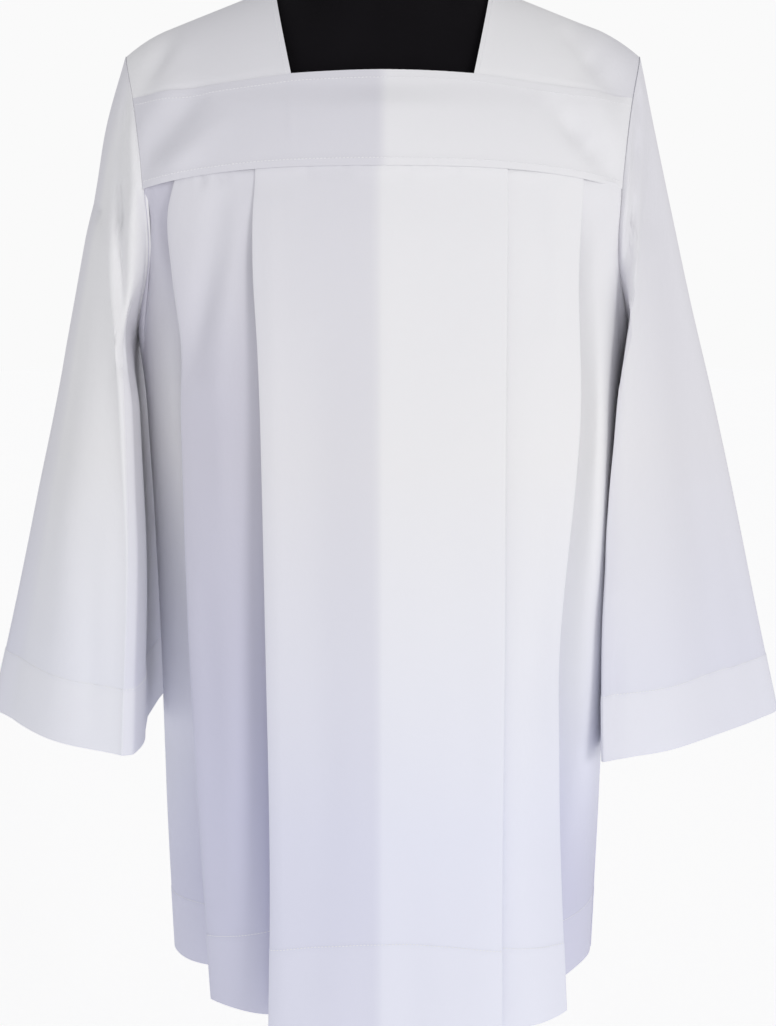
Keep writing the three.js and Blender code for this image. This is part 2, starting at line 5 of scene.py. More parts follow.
import bpy
import numpy as np
from bpy.props import FloatProperty, FloatVectorProperty, PointerProperty
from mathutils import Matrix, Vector


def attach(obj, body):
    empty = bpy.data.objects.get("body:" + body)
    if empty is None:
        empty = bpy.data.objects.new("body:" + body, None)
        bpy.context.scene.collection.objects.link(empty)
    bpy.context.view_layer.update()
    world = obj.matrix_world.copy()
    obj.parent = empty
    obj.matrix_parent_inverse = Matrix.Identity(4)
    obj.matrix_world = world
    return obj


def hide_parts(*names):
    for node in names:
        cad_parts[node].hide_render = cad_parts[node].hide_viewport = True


bl_info = {
    "name": "Rochet on a dress form",
    "version": (1, 0, 0),
    "blender": (4, 5, 0),
    "location": "View3D > Sidebar > Rochet",
    "description": "Builds a pleated rochet, its dress form and a plain studio",
    "category": "Object",
}

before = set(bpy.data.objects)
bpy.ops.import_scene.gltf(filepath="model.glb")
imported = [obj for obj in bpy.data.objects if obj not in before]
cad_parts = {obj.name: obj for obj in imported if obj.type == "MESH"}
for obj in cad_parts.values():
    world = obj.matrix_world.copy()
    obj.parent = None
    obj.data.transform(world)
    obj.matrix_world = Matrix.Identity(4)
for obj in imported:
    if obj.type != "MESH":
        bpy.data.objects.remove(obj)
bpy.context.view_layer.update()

MM = 0.001
FRONT, BACK = -1, 1  # the sign of Y
RIGHT, LEFT = -1, 1  # the wearer's, the sign of X
SIDE_NAME = {RIGHT: "right", LEFT: "left"}
FACE_NAME = {FRONT: "front", BACK: "back"}

# ---- The cut, in millimetres ----

SEAM = 0.3
HEM_Z = 492
NECK_X, NECK_Z = 96, 1430
TIP_X, TIP_Z = 231, 1370
SHOULDER_SLOPE = 0.383
TIP_ROUND = 38
ARMPIT_Z = 1120
YOKE_CORNER_Z = 1254
ARCH_FOOT_Z = 1250
CHEST_HALF_WIDTH = 245
CHEST_POWER, ARCH_POWER = 2.4, 1.7  # how square the yoke is from above and from the side
CHEST_DEPTH = {FRONT: 120, BACK: 112}
NECK_CORNER_X = 78
YOKE_SHARE = 0.45  # share of the armhole, from the shoulder tip, that the yoke takes
YOKE_SEAM_Z = {FRONT: 1274, BACK: 1264}  # at the centre
YOKE_SEAM_REACH = 210  # where the seam has fallen to the corner at the armhole
STRAP_SEAM = {FRONT: (1351, 19), BACK: (1386, 38)}  # height at the neck, and fall over its run
STRAP_RUN = 144


def lerp(a, b, t):
    return a + (b - a) * t


def smooth(t):
    t = np.clip(t, 0, 1)
    return t * t * (3 - 2 * t)


class Table:
    """Rows with named columns. The first column is the key and runs upwards."""

    def __init__(self, names, *rows):
        self.names = names.split()
        self.rows = np.array(rows, float)

    def read(self, name, key):
        """The column's values at the keys, on a smooth curve through the rows."""
        k = self.rows[:, 0]
        v = self.rows[:, self.names.index(name)]
        last = len(k) - 1
        lower = np.maximum(np.arange(len(k)) - 1, 0)
        upper = np.minimum(np.arange(len(k)) + 1, last)
        slope = (v[upper] - v[lower]) / (k[upper] - k[lower])
        key = np.clip(key, k[0], k[last])
        i = np.clip(np.searchsorted(k, key, side="right") - 1, 0, last - 1)
        step = k[i + 1] - k[i]
        t = (key - k[i]) / step
        return (
            v[i] * (1 + 2 * t) * (1 - t) ** 2
            + slope[i] * step * t * (1 - t) ** 2
            + v[i + 1] * t * t * (3 - 2 * t)
            + slope[i + 1] * step * t * t * (t - 1)
        )

    def records(self):
        return [dict(zip(self.names, row)) for row in self.rows]


ARMHOLE = Table(
    "z x",
    (1120, 227),
    (1150, 219),
    (1180, 211),
    (1215, 208),
    (1260, 210),
    (1300, 214.5),
    (1335, 221),
    (1370, 231),
)

STATIONS = "z centreY fold1X fold1Y open1 fold2X fold2Y open2 cornerX cornerY sideX sideY"
PANELS = {
    (FRONT, RIGHT): Table(
        STATIONS,
        (492, -168, 104, -164, 66, 164, -94, 84, 200, -34, 212, 22),
        (650, -160, 101, -154, 48, 170, -96, 64, 204, -38, 216, 16),
        (850, -148, 102.5, -142, 28, 176, -98, 42, 206, -42, 217, 12),
        (1050, -137, 105, -130, 10, 178, -99, 20, 211, -54, 222, 8),
        (1121, -132, 107, -126, 6, 177, -98, 14, 212.5, -55, 225.5, 6),
        (1180, -128, 110, -121, 3, 183, -96, 9, 213, -58, 227, 4),
        (1230, -124, 110, -116, 2, 186.5, -92, 5, 210.5, -65, 228, 3),
        (1264, -121, 108, -113, 0, 179, -92, 0, 210, -74, 229, 3),
    ),
    (FRONT, LEFT): Table(
        STATIONS,
        (492, -168, 108, -164, 6, 173, -113, 52, 200, -46, 211, 18),
        (650, -160, 107, -155, 4, 164, -107, 24, 202, -64, 214, 14),
        (750, -154, 107, -149, 3.5, 161, -105, 14, 202, -78, 214.5, 12),
        (850, -148, 107, -143, 3, 160, -103, 10, 202, -84, 215, 9),
        (1050, -137, 106, -131, 2, 174, -100, 6, 202, -83, 221, 6),
        (1180, -128, 106, -121, 1, 170, -98, 4, 205, -74, 227, 4),
        (1264, -121, 106, -113, 0, 173, -94, 0, 210, -74, 229, 3),
    ),
    (BACK, RIGHT): Table(
        STATIONS,
        (492, 150, 98, 144, 34, 162, 100, 44, 199, 58, 212, 22),
        (650, 138, 97, 133, 26, 163, 96, 34, 203, 54, 216, 16),
        (850, 126, 98, 121, 17, 166, 92, 24, 206, 52, 217, 12),
        (1050, 117, 100, 111, 8, 170, 88, 12, 212, 50, 222, 8),
        (1180, 116, 101, 109, 3, 170, 88, 4, 214, 54, 227, 4),
        (1264, 113, 100, 106, 0, 168, 88, 0, 210, 69, 229, 3),
    ),
    (BACK, LEFT): Table(
        STATIONS,
        (492, 150, 101, 143, 40, 166, 98, 38, 199, 56, 211, 18),
        (650, 138, 100, 132, 30, 166, 95, 30, 202, 53, 214, 14),
        (850, 126, 100, 121, 19, 167, 92, 21, 205, 51, 215, 10),
        (1050, 117, 100, 111, 9, 170, 88, 11, 212, 50, 221, 8),
        (1180, 116, 100, 109, 3, 170, 88, 4, 214, 54, 227, 4),
        (1264, 113, 100, 106, 0, 168, 88, 0, 210, 69, 229, 3),
    ),
}
STATION_NAMES = ("fold1", "fold2", "corner", "side")
CORNER_STATION, SIDE_STATION = 3, 4
PLEATS = ((1, 0.36), (2, 0.44))  # the station of a pleat's fold, and how far its tuck goes back
PANEL_STEPS, FOLD_STEPS, TUCK_STEPS = 22, 6, 7  # columns a station, round a fold and along a tuck
HEM_DEPTH, CUFF_DEPTH = 66, 62
DEEPER_HEM, DEEPER_HALF_WIDTH = 28, 173  # the middle of the front's hem
LAYER = 0.9  # from one layer of a pressed pleat to the next
SEAM_REACH = 90  # how far down the yoke seam's line holds a panel
DIP = {(FRONT, RIGHT): (5.5, 6.5), (FRONT, LEFT): (0.4, 4.0)}  # behind each fold of a half
BACK_DIP = (3.5, 4.5)
TUCKED = 3.0  # how far a piece goes on behind the edge sewn over it

RINGS = "t outerX outerY outerZ innerX innerZ frontShare frontY frontBulge backShare backY backBulge"
SLEEVES = {
    RIGHT: Table(
        RINGS,
        (0, 232, 0, 1370, 231, 1121, 0.3, -92, 8, 0.3, 88, 8),
        (0.1, 251, 0, 1310, 232, 1083, 0.14, -94, 10, 0.1, 92, 10),
        (0.2, 263, 1, 1251, 232, 1045, 0.07, -96, 13, -0.1, 98, 12),
        (0.35, 284, 3, 1153, 231, 989, 0.04, -99, 16, -0.16, 108, 14),
        (0.5, 306, 6, 1056, 230, 933, 0.03, -102, 18, -0.15, 116, 16),
        (0.65, 331, 10, 960, 230, 877, 0.04, -105, 20, -0.11, 120, 18),
        (0.8, 356, 14, 862, 231, 821, 0.05, -108, 22, -0.08, 124, 20),
        (1, 386, 20, 750, 232, 744, 0.06, -112, 26, -0.05, 126, 22),
    ),
    LEFT: Table(
        RINGS,
        (0, 232, 0, 1370, 231, 1121, 0.3, -92, 8, 0.3, 88, 8),
        (0.1, 247, 1, 1310, 232, 1083, 0.05, -94, 10, 0.1, 92, 10),
        (0.2, 263, 4, 1247, 232, 1045, -0.12, -96, 12, -0.14, 98, 12),
        (0.35, 288, 9, 1150, 229, 987, -0.16, -101, 12, -0.2, 107, 14),
        (0.5, 315, 16, 1054, 226, 929, -0.15, -106, 13, -0.17, 114, 16),
        (0.65, 341, 24, 956, 223, 871, -0.12, -112, 15, -0.12, 118, 18),
        (0.8, 366, 32, 858, 221, 812, -0.1, -116, 17, -0.08, 120, 20),
        (1, 398, 44, 738, 220, 734, -0.06, -119, 21, -0.03, 122, 22),
    ),
}
MID_SHARE = {RIGHT: 0.5, LEFT: 0.37}  # where the front bulges most, from its fold to the outer edge
ROUNDING = (0.2, 0.45, 0.05, 0.4, 0.2, 0.45)  # outer, front middle, front, inner, back, back middle
FOLD_REACH = {  # how far the pressed fold in front lies over the body
    RIGHT: Table("t reach", (0, 0), (0.1, 2), (0.2, 3.5), (1, 3.5)),
    LEFT: Table(
        "t reach",
        *((0, 0), (0.05, 8), (0.1, 21), (0.2, 22), (0.35, 17)),
        *((0.5, 11), (0.65, 8.5), (0.8, 5.5), (1, 6)),
    ),
}
FOLD_EASE = {  # and how much nearer to the body it lies
    RIGHT: Table("t ease", (0, 0), (1, 0)),
    LEFT: Table("t ease", (0, 0), (0.3, 11), (0.6, 13), (0.8, 17), (1, 20)),
}
FLANK_FULLNESS = {RIGHT: 10, LEFT: 0}
HEAD_BLEND = 0.1  # share of its length over which a sleeve leaves the armhole's line
HEAD_FOLD_TURNS = (0.03, 0.36)
HEAD_FOLD = ((1.5, 0.022, 0.018), (-3, 0.062, 0.022))  # height, place and width of ridge and valley
SLEEVE_COLUMNS = 150
FOLD_TURNS = np.linspace(0.31, 0.356, 33)  # closer columns round the pressed fold in front

FOOT_TOP_Z, FORM_FOOT_Z, FORM_TOP_Z = 46, 772, 1512
FORM = Table(
    "z halfWidth front back power",
    (772, 140, 84, 84, 2.2),
    (800, 154, 94, 92, 2.2),
    (860, 158, 98, 95, 2.2),
    (930, 152, 95, 88, 2.2),
    (1010, 146, 94, 84, 2.2),
    (1090, 156, 102, 88, 2.2),
    (1160, 172, 108, 94, 2.2),
    (1230, 188, 108, 96, 2.1),
    (1300, 202, 101, 92, 2),
    (1345, 208, 91, 85, 1.85),
    (1371, 207, 83, 79, 1.7),
    (1390, 196, 77, 73, 1.6),
    (1408, 150.2, 71, 68, 1.6),
    (1422, 113.7, 68, 65, 1.7),
    (1430, 92.5, 66, 64, 1.8),
    (1437, 76, 64.5, 62, 1.9),
    (1448, 68, 62, 60, 2),
    (1470, 61, 58, 57, 2),
    (1512, 59, 56, 56, 2),
)

# ---- Creases: soft troughs, depth below 0, and ridges along straight lines seen from the front ----

CREASE = "face x0 z0 x1 z1 width depth"
YOKE_CREASES = Table(
    CREASE,
    (FRONT, -186, 1386, -212, 1340, 9, -4.6),
    (FRONT, -164, 1386, -196, 1352, 14, 1.6),
    (FRONT, -162, 1330, -208, 1282, 12, -6.2),
    (FRONT, -176, 1350, -208, 1312, 11, 2.6),
    (FRONT, -140, 1308, -192, 1266, 11, 3.4),
    (FRONT, 158, 1398, 180, 1370, 11, -3.6),
    (FRONT, 178, 1372, 206, 1338, 10, -6.4),
    (FRONT, 186, 1394, 212, 1362, 10, 2.4),
    (FRONT, 150, 1322, 178, 1292, 10, -6.2),
    (FRONT, 176, 1294, 206, 1262, 11, -5.0),
    (FRONT, 176, 1338, 204, 1300, 10, 2.6),
    (FRONT, 118, 1345, 150, 1322, 16, -1.4),
    (FRONT, -78, 1351, -77, 1274, 1.6, 0.5),
    (FRONT, -44, 1345, -40, 1280, 22, -0.9),
    (BACK, -186, 1368, -212, 1322, 11, -3.6),
    (BACK, -150, 1330, -212, 1284, 13, -3.2),
    (BACK, 178, 1372, 211, 1330, 10, -3.6),
    (BACK, 146, 1318, 208, 1270, 12, -3.2),
)
PANEL_CREASES = Table(
    CREASE,
    (FRONT, -77, 1274, -77, 1200, 1.6, 0.4),
    (FRONT, -60, 1120, -58, 560, 22, -3.0),
    (FRONT, -96, 1240, -94, 520, 9, 2.0),
    (FRONT, 78, 1000, 66, 560, 20, -1.2),
    (FRONT, -120, 1240, -142, 1090, 11, 4.6),
    (FRONT, -141, 1240, -168, 1100, 11, -6.0),
    (FRONT, -141, 1090, -137, 960, 12, 3.4),
    (FRONT, -137, 960, -139, 600, 12, 3.2),
    (FRONT, -160, 900, -158, 600, 9, -2.0),
    (FRONT, -196, 1235, -200, 1120, 9, -4.5),
    (FRONT, 126, 1262, 140, 1150, 14, -1.8),
    (FRONT, 150, 1250, 152, 1120, 9, 1.6),
    (FRONT, 138, 1120, 132, 860, 14, 1.8),
    (FRONT, 146, 820, 140, 560, 12, -1.8),
    (FRONT, 190, 1240, 198, 1150, 8, -2.2),
    (BACK, -54, 1100, -60, 560, 22, -2.8),
    (BACK, 48, 1180, 40, 700, 24, 2.0),
    (BACK, 76, 980, 84, 540, 14, -2.2),
    (BACK, -124, 1240, -138, 1120, 12, -3.4),
    (BACK, 128, 1240, 140, 1130, 12, -3.0),
    (BACK, -140, 1000, -136, 640, 12, 2.4),
    (BACK, 140, 980, 146, 620, 12, 2.4),
)

# How much painted shade, a darker violet put where folds and faces turned from the light lie in shade, the
# cloth has at each station or turn, and at three heights of a panel.
PAINTED_SHADE_MARKS = "station top middle low"
BACK_PAINTED_SHADE = Table(PAINTED_SHADE_MARKS, (0, 0.1, 0.1, 0.2), (2, 0.3, 0.3, 0.4), (4, 0.5, 0.5, 0.6))
PAINTED_SHADE = {
    (FRONT, RIGHT): Table(
        PAINTED_SHADE_MARKS,
        (0, 0.1, 0.1, 0.2),
        (0.1, 0.4, 0.38, 0.5),
        (1, 0.4, 0.34, 0.5),
        (1.05, 0.5, 0.85, 0.85),
        (2, 0.5, 0.9, 0.85),
        (2.05, 1, 0.35, 0.8),
        (3, 0.9, 0.2, 0.8),
        (4, 0.8, 0.2, 0.8),
    ),
    (FRONT, LEFT): Table(
        PAINTED_SHADE_MARKS, (0, 0.05, 0, 0.15), (2, 0.05, 0, 0.15), (2.05, 0.15, 0, 0.7), (4, 0.15, 0, 1)
    ),
    (BACK, RIGHT): BACK_PAINTED_SHADE,
    (BACK, LEFT): BACK_PAINTED_SHADE,
}
# Painted shade round each sleeve by turn, strongest on the flank that faces the body.
SLEEVE_PAINTED_SHADE = {
    RIGHT: Table(
        "turn mark", (0, 0.5), (0.07, 0.3), (0.12, 0), (0.3, 0), (0.34, 0.3), (0.5, 0.3), (0.7, 0.3), (1, 0.5)
    ),
    LEFT: Table(
        "turn mark",
        *((0, 0.4), (0.12, 0.4), (0.22, 0.25), (0.3, 0.45)),
        *((0.34, 0.5), (0.5, 0.5), (0.7, 0.3), (1, 0.4)),
    ),
}

DIMPLES = Table(
    "face x width depth",
    (FRONT, -155, 3.0, -2.2),
    (FRONT, -140, 2.6, -2.0),
    (FRONT, -133, 2.4, -1.7),
    (FRONT, -61, 3.2, -1.9),
    (FRONT, -50, 2.6, -1.4),
    (FRONT, -42, 3.0, -1.7),
    (FRONT, -30, 2.8, -1.5),
    (FRONT, 22, 2.8, -1.7),
    (FRONT, 62, 3.0, -1.4),
    (BACK, -120, 3.0, -1.0),
    (BACK, -38, 3.0, -0.9),
    (BACK, 52, 3.0, -1.0),
    (BACK, 133, 3.0, -1.0),
)
SLEEVE_CREASES = {
    RIGHT: Table(
        CREASE,
        (FRONT, -262, 1240, -252, 1228, 5, -2.2),
        (FRONT, -250, 1200, -305, 750, 32, 15),
        (FRONT, -256, 1190, -262, 980, 14, 1.2),
        (FRONT, -284, 1080, -306, 860, 16, -2.4),
        (FRONT, -262, 960, -268, 760, 10, -1.8),
        (FRONT, -320, 900, -344, 760, 14, 1.6),
        (BACK, -266, 1230, -300, 960, 16, -2.2),
        (BACK, -262, 1040, -280, 770, 16, 1.8),
    ),
    LEFT: Table(
        CREASE,
        (FRONT, 262, 1190, 300, 900, 16, -1.8),
        (FRONT, 238, 1190, 268, 750, 26, 7),
        (FRONT, 300, 960, 322, 760, 16, -3.0),
        (FRONT, 212, 880, 215, 740, 9, -5),
        (BACK, 262, 1230, 304, 960, 16, -2.2),
        (BACK, 262, 1040, 290, 770, 16, 1.8),
    ),
}

# The upright folds beside the armholes: the seam holds a ridge out, and a valley lies beyond it.
HEAD_CREASES = {
    RIGHT: Table(
        CREASE,
        (FRONT, -229, 1350, -231, 1225, 5.8, -9),
        (FRONT, -231, 1250, -230, 1100, 5.8, -12),
        (FRONT, -223, 1320, -220, 1240, 6, 5),
        (FRONT, -220, 1250, -224, 1150, 7, 5),
    ),
    LEFT: Table(
        CREASE,
        (FRONT, 228.5, 1352, 223.5, 1285, 5.6, -9),
        (FRONT, 224, 1305, 219, 1225, 5.6, -11),
        (FRONT, 220.5, 1250, 215, 1160, 5.6, -12),
        (FRONT, 217, 1320, 212.5, 1200, 5, 5),
    ),
}


# ---- The yoke's surface ----


def shoulder_z(x):
    x = np.abs(x)
    tip = NECK_Z - SHOULDER_SLOPE * (TIP_X - NECK_X)
    past = np.maximum(0, x - TIP_X + TIP_ROUND) / TIP_ROUND
    return NECK_Z - SHOULDER_SLOPE * (x - NECK_X) - (tip - TIP_Z) * past**2


def yoke_y(face, x, z):
    """How far in front of or behind the shoulder line the yoke lies."""
    across = np.clip(1 - np.abs(x / CHEST_HALF_WIDTH) ** CHEST_POWER, 0, 1)
    up = np.clip((z - ARCH_FOOT_Z) / (shoulder_z(x) - ARCH_FOOT_Z), 0, 1)
    arch = (1 - up**ARCH_POWER) ** (1 / ARCH_POWER)
    return face * CHEST_DEPTH[face] * across ** (1 / CHEST_POWER) * arch


def armhole_x(z):
    return ARMHOLE.read("x", z)


def neck_x(z):
    low = STRAP_SEAM[FRONT][0]
    return lerp(NECK_CORNER_X, NECK_X, np.clip((z - low) / (NECK_Z - low), 0, 1))


def yoke_seam_z(face, x):
    centre = YOKE_SEAM_Z[face]
    return centre - (centre - YOKE_CORNER_Z) * np.minimum(1, np.abs(x) / YOKE_SEAM_REACH) ** 3


def strap_seam_z(face, x):
    neck, fall = STRAP_SEAM[face]
    return neck - fall * np.maximum(0, np.abs(x) - neck_x(neck)) / STRAP_RUN


def round_armhole(turns):
    """The armhole seam's points for turns that run from the tip down the front and up the back."""
    return np.array([armhole_point(FRONT if a <= 0.5 else BACK, 1 - abs(1 - 2 * a)) for a in turns])


def armhole_point(face, along):
    """A point of the armhole seam, from the shoulder tip, 0, to the armpit, 1."""
    along = np.asarray(along, float)
    turn = np.clip(along / YOKE_SHARE, 0, 1) * math.pi / 2
    rise = np.clip(np.cos(turn), 0, 1) ** (2 / ARCH_POWER)
    upper_z = YOKE_CORNER_Z + (TIP_Z - YOKE_CORNER_Z) * rise
    turn = np.clip((along - YOKE_SHARE) / (1 - YOKE_SHARE), 0, 1) * math.pi / 2
    lower_z = YOKE_CORNER_Z - (YOKE_CORNER_Z - ARMPIT_Z) * np.sin(turn)
    depth = yoke_y(face, armhole_x(YOKE_CORNER_Z), YOKE_CORNER_Z)
    upper = along <= YOKE_SHARE
    z = np.where(upper, upper_z, lower_z)
    x = armhole_x(z)
    y = np.where(upper, yoke_y(face, x, z), lerp(4, depth, np.cos(turn)))
    return np.stack([x, y, z], -1)


def relief(creases, face, x, z):
    """How far the creases move the cloth outwards."""
    total = np.zeros(np.broadcast(x, z).shape)
    for row in creases.records():
        if row["face"] != face:
            continue
        dx, dz = row["x1"] - row["x0"], row["z1"] - row["z0"]
        share = ((x - row["x0"]) * dx + (z - row["z0"]) * dz) / (dx * dx + dz * dz)
        share = np.clip(share, 0, 1)
        away = np.hypot(x - row["x0"] - share * dx, z - row["z0"] - share * dz)
        uneven = 0.82 + 0.18 * np.sin(7 * share + row["x0"] * 0.11)
        ends = 0.35 + 0.65 * np.sin(math.pi * np.clip(share * 0.9 + 0.05, 0, 1))
        total += row["depth"] * uneven * ends * np.exp(-((away / row["width"]) ** 2))
    return total


def puckers(along, away, pitch=9.0, depth=0.35, reach=6.0):
    """Small dents beside a stitched seam."""
    beat = np.sin(2 * math.pi * along / pitch + 1.7 * np.sin(along * 0.047))
    weight = 0.5 + 0.5 * np.sin(along * 0.031 + 0.8)
    return -depth * np.clip(beat, -0.2, 1) * weight * np.exp(-((away / reach) ** 2))


def dimples(face, x, away):
    """The deeper dents where the gathered top of a panel is sewn in."""
    total = np.zeros(np.broadcast(x, away).shape)
    for row in DIMPLES.records():
        if row["face"] == face:
            spot = np.exp(-(((x - row["x"]) / row["width"]) ** 2) - (((away - 4) / 5) ** 2))
            total += row["depth"] * spot
    return total


def centre_crease(x, z):
    """The pressed crease down the middle, a ridge with two flat flanks."""
    return 6.0 * np.exp(-(np.hypot(x, 2.0) - 2.0) / 75) * smooth((1345 - z) / 25)


# ---- Cloth meshes ----


def unit(vectors):
    return vectors / np.linalg.norm(vectors, axis=-1, keepdims=True)


def steps_along(grid, axis):
    """The distances between neighbouring points."""
    return np.linalg.norm(np.diff(grid, axis=axis), axis=-1)


def running(steps):
    """The distance from the start before and after each step."""
    return np.concatenate([[0], steps.cumsum()])


def level_circle(radius, z, steps):
    turn = np.linspace(0, 2 * math.pi, steps + 1)[:-1]
    return np.stack([radius * np.cos(turn), radius * np.sin(turn), np.full(steps, z)], -1)


def grid_faces(grid, looped, u, v):
    """The quads between a grid's points, each down then across, and their corners' coordinates."""
    rows, columns = grid.shape[:2]
    i, j = np.indices((rows - 1, columns if looped else columns - 1)).reshape(2, -1)
    k = (j + 1) % columns
    faces = np.stack([i * columns + j, (i + 1) * columns + j, (i + 1) * columns + k, i * columns + k], 1)
    corners = ((j, i), (j, i + 1), (j + 1, i + 1), (j + 1, i))
    return faces, np.stack([np.stack([u[a], v[b]], -1) for a, b in corners], 1)


def cloth_normals(grid, looped):
    """The cross of the ways along the rows and down the columns."""
    if looped:
        across = np.roll(grid, -1, 1) - np.roll(grid, 1, 1)
    else:
        across = np.gradient(grid, axis=1)
    return unit(np.cross(across, np.gradient(grid, axis=0)))


def add_mesh(name, points, faces, material, uv=None, marks=None, sharp=75):
    """A smooth-shaded object from points in millimetres."""
    mesh = bpy.data.meshes.new(name)
    mesh.from_pydata((np.asarray(points) * MM).tolist(), [], [list(f) for f in faces])
    mesh.polygons.foreach_set("use_smooth", [True] * len(mesh.polygons))
    if uv is not None:
        layer = mesh.uv_layers.new(name="Cut")
        layer.data.foreach_set("uv", (np.asarray(uv) * MM).ravel())
    for mark, values in (marks or {}).items():
        attribute = mesh.attributes.new(mark, "FLOAT", "POINT")
        attribute.data.foreach_set("value", np.asarray(values, float).ravel())
    mesh.set_sharp_from_angle(angle=math.radians(sharp))
    mesh.validate()
    obj = bpy.data.objects.new(name, mesh)
    bpy.context.scene.collection.objects.link(obj)
    mesh.materials.append(material)
    return obj


def cloth_object(name, grid, outward, looped, marks):
    """The thin closed wall round a grid of points on the middle of the cloth."""
    rows, columns = grid.shape[:2]
    size = rows * columns
    normals = cloth_normals(grid, looped) * outward
    half = bpy.context.scene.rochet_cut.cloth_thickness / MM / 2
    points = np.concatenate([grid + normals * half, grid - normals * half]).reshape(-1, 3)
    loop = np.concatenate([grid, grid[:, :1]], 1) if looped else grid
    u = running(steps_along(loop, 1).mean(0))
    v = -running(steps_along(grid, 0).mean(1))
    outer, corner = grid_faces(grid, looped, u, v)
    faces = [outer, outer[:, ::-1] + size]
    uvs = [corner, corner[:, ::-1]]

    def rim(a, b, at, reverse):
        quad = np.stack([a, b, b + size, a + size], 1)
        faces.append(quad[:, ::-1] if reverse else quad)
        uvs.append(np.repeat(at[:, None], 4, 1))

    steps = loop.shape[1] - 1
    edge = np.arange(steps)
    following = (edge + 1) % columns
    along = np.stack([u[:steps], np.zeros(steps)], 1)
    last = (rows - 1) * columns
    rim(edge, following, along, False)
    rim(edge + last, following + last, along, True)
    if not looped:
        down = np.arange(rows - 1) * columns
        beside = np.stack([np.zeros(rows - 1), v[:-1]], 1)
        rim(down, down + columns, beside, True)
        rim(down + columns - 1, down + 2 * columns - 1, beside, False)
    faces = np.concatenate(faces)
    uvs = np.concatenate(uvs)
    if outward > 0:
        faces, uvs = faces[:, ::-1], uvs[:, ::-1]
    doubled = {mark: np.concatenate([values, values]) for mark, values in marks.items()}
    obj = add_mesh(name, points, faces, finish_of("White cloth"), uvs, doubled)
    across = np.cross(loop[1:, 1:] - loop[:-1, :-1], loop[1:, :-1] - loop[:-1, 1:])
    area = np.linalg.norm(across, axis=-1).sum() / 2
    width = steps_along(loop, 1).sum(1).max()
    length = steps_along(grid, 0).sum(0).max()
    obj["cut_width"] = width * MM
    obj["cut_length"] = length * MM
    obj["cut_area"] = min(area, width * length) * MM * MM
    return obj, grid + normals * half, normals


def level_line(skin, normals, from_hem, depth, looped=False):
    """The line across a piece at a depth above its hem, and the normals along it."""
    path, out = [], []
    columns = range(skin.shape[1])
    for j in [*columns, 0] if looped else columns:
        at = from_hem[::-1, j]
        path.append([np.interp(depth, at, skin[::-1, j, k]) for k in range(3)])
        out.append([np.interp(depth, at, normals[::-1, j, k]) for k in range(3)])
    return np.array(path), unit(np.array(out))


def stitch_row(name, path, normals):
    """A row of sewn stitches along a path on the cloth."""
    pitch = bpy.context.scene.rochet_cut.stitch_pitch / MM
    length, radius = pitch * 0.72, pitch * 0.1
    along = running(steps_along(path, 0))
    points, faces = [], []
    at = pitch / 2
    while at + length < along[-1]:
        ends = [np.array([np.interp(s, along, path[:, k]) for k in range(3)]) for s in (at, at + length)]
        out = unit(np.array([np.interp(at, along, normals[:, k]) for k in range(3)]))
        way = ends[1] - ends[0]
        if np.linalg.norm(way) > length * 0.5:
            way = unit(way)
            side = np.cross(way, out)
            base = len(points)
            points.append(ends[0] - out * 0.1)
            for share, swell in ((0.15, 0.8), (0.5, 1.0), (0.85, 0.8)):
                centre = lerp(ends[0], ends[1], share)
                for turn in range(6):
                    angle = turn * math.pi / 3
                    wave = math.cos(angle) * side * 1.3 + math.sin(angle) * out
                    points.append(centre + wave * radius * swell)
            points.append(ends[1] - out * 0.1)
            for turn in range(6):
                following = (turn + 1) % 6
                faces.append((base, base + 1 + following, base + 1 + turn))
                for ring in (1, 7):
                    a, b = base + ring + turn, base + ring + following
                    faces.append((a, b, b + 6, a + 6))
                faces.append((base + 19, base + 13 + turn, base + 13 + following))
        at += pitch
    obj = add_mesh(name, np.array(points), faces, finish_of("White thread"), sharp=180)
    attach(obj, "root")
    return obj


# ---- The pleated front and back ----


def outer_line(face, side, station, z):
    """The outer line of half a panel at the heights z, a smooth curve through its stations."""
    table = PANELS[face, side]
    points = [(-table.read("fold1X", z), table.read("fold1Y", z))]
    points.append((np.zeros_like(z), table.read("centreY", z)))
    points += [(table.read(n + "X", z), table.read(n + "Y", z)) for n in STATION_NAMES]
    points.append((points[4][0], 2 * points[5][1] - points[4][1]))
    i = int(min(SIDE_STATION - 1, math.floor(station)))
    t = station - i
    a, b, c, d = (np.stack(p, -1) for p in points[i : i + 4])
    return 0.5 * (
        2 * b + (c - a) * t + (2 * a - 5 * b + 4 * c - d) * t**2 + (3 * b - a - 3 * c + d) * t**3
    )


def top_edge(face, side, station):
    """The top edge of a panel at a station: the yoke seam, then the armhole."""
    if station > CORNER_STATION:
        return armhole_point(face, lerp(YOKE_SHARE, 1, station - CORNER_STATION))
    level = np.array([YOKE_CORNER_Z + 10.0])
    raw = outer_line(face, side, station, level)[0, 0]
    corner = outer_line(face, side, CORNER_STATION, level)[0, 0]
    x = raw * float(armhole_x(YOKE_CORNER_Z)) / corner
    z = float(yoke_seam_z(face, x)) + TUCKED * float(smooth((CORNER_STATION - station) / 0.15))
    return np.array([x, float(yoke_y(face, x, z)), z])


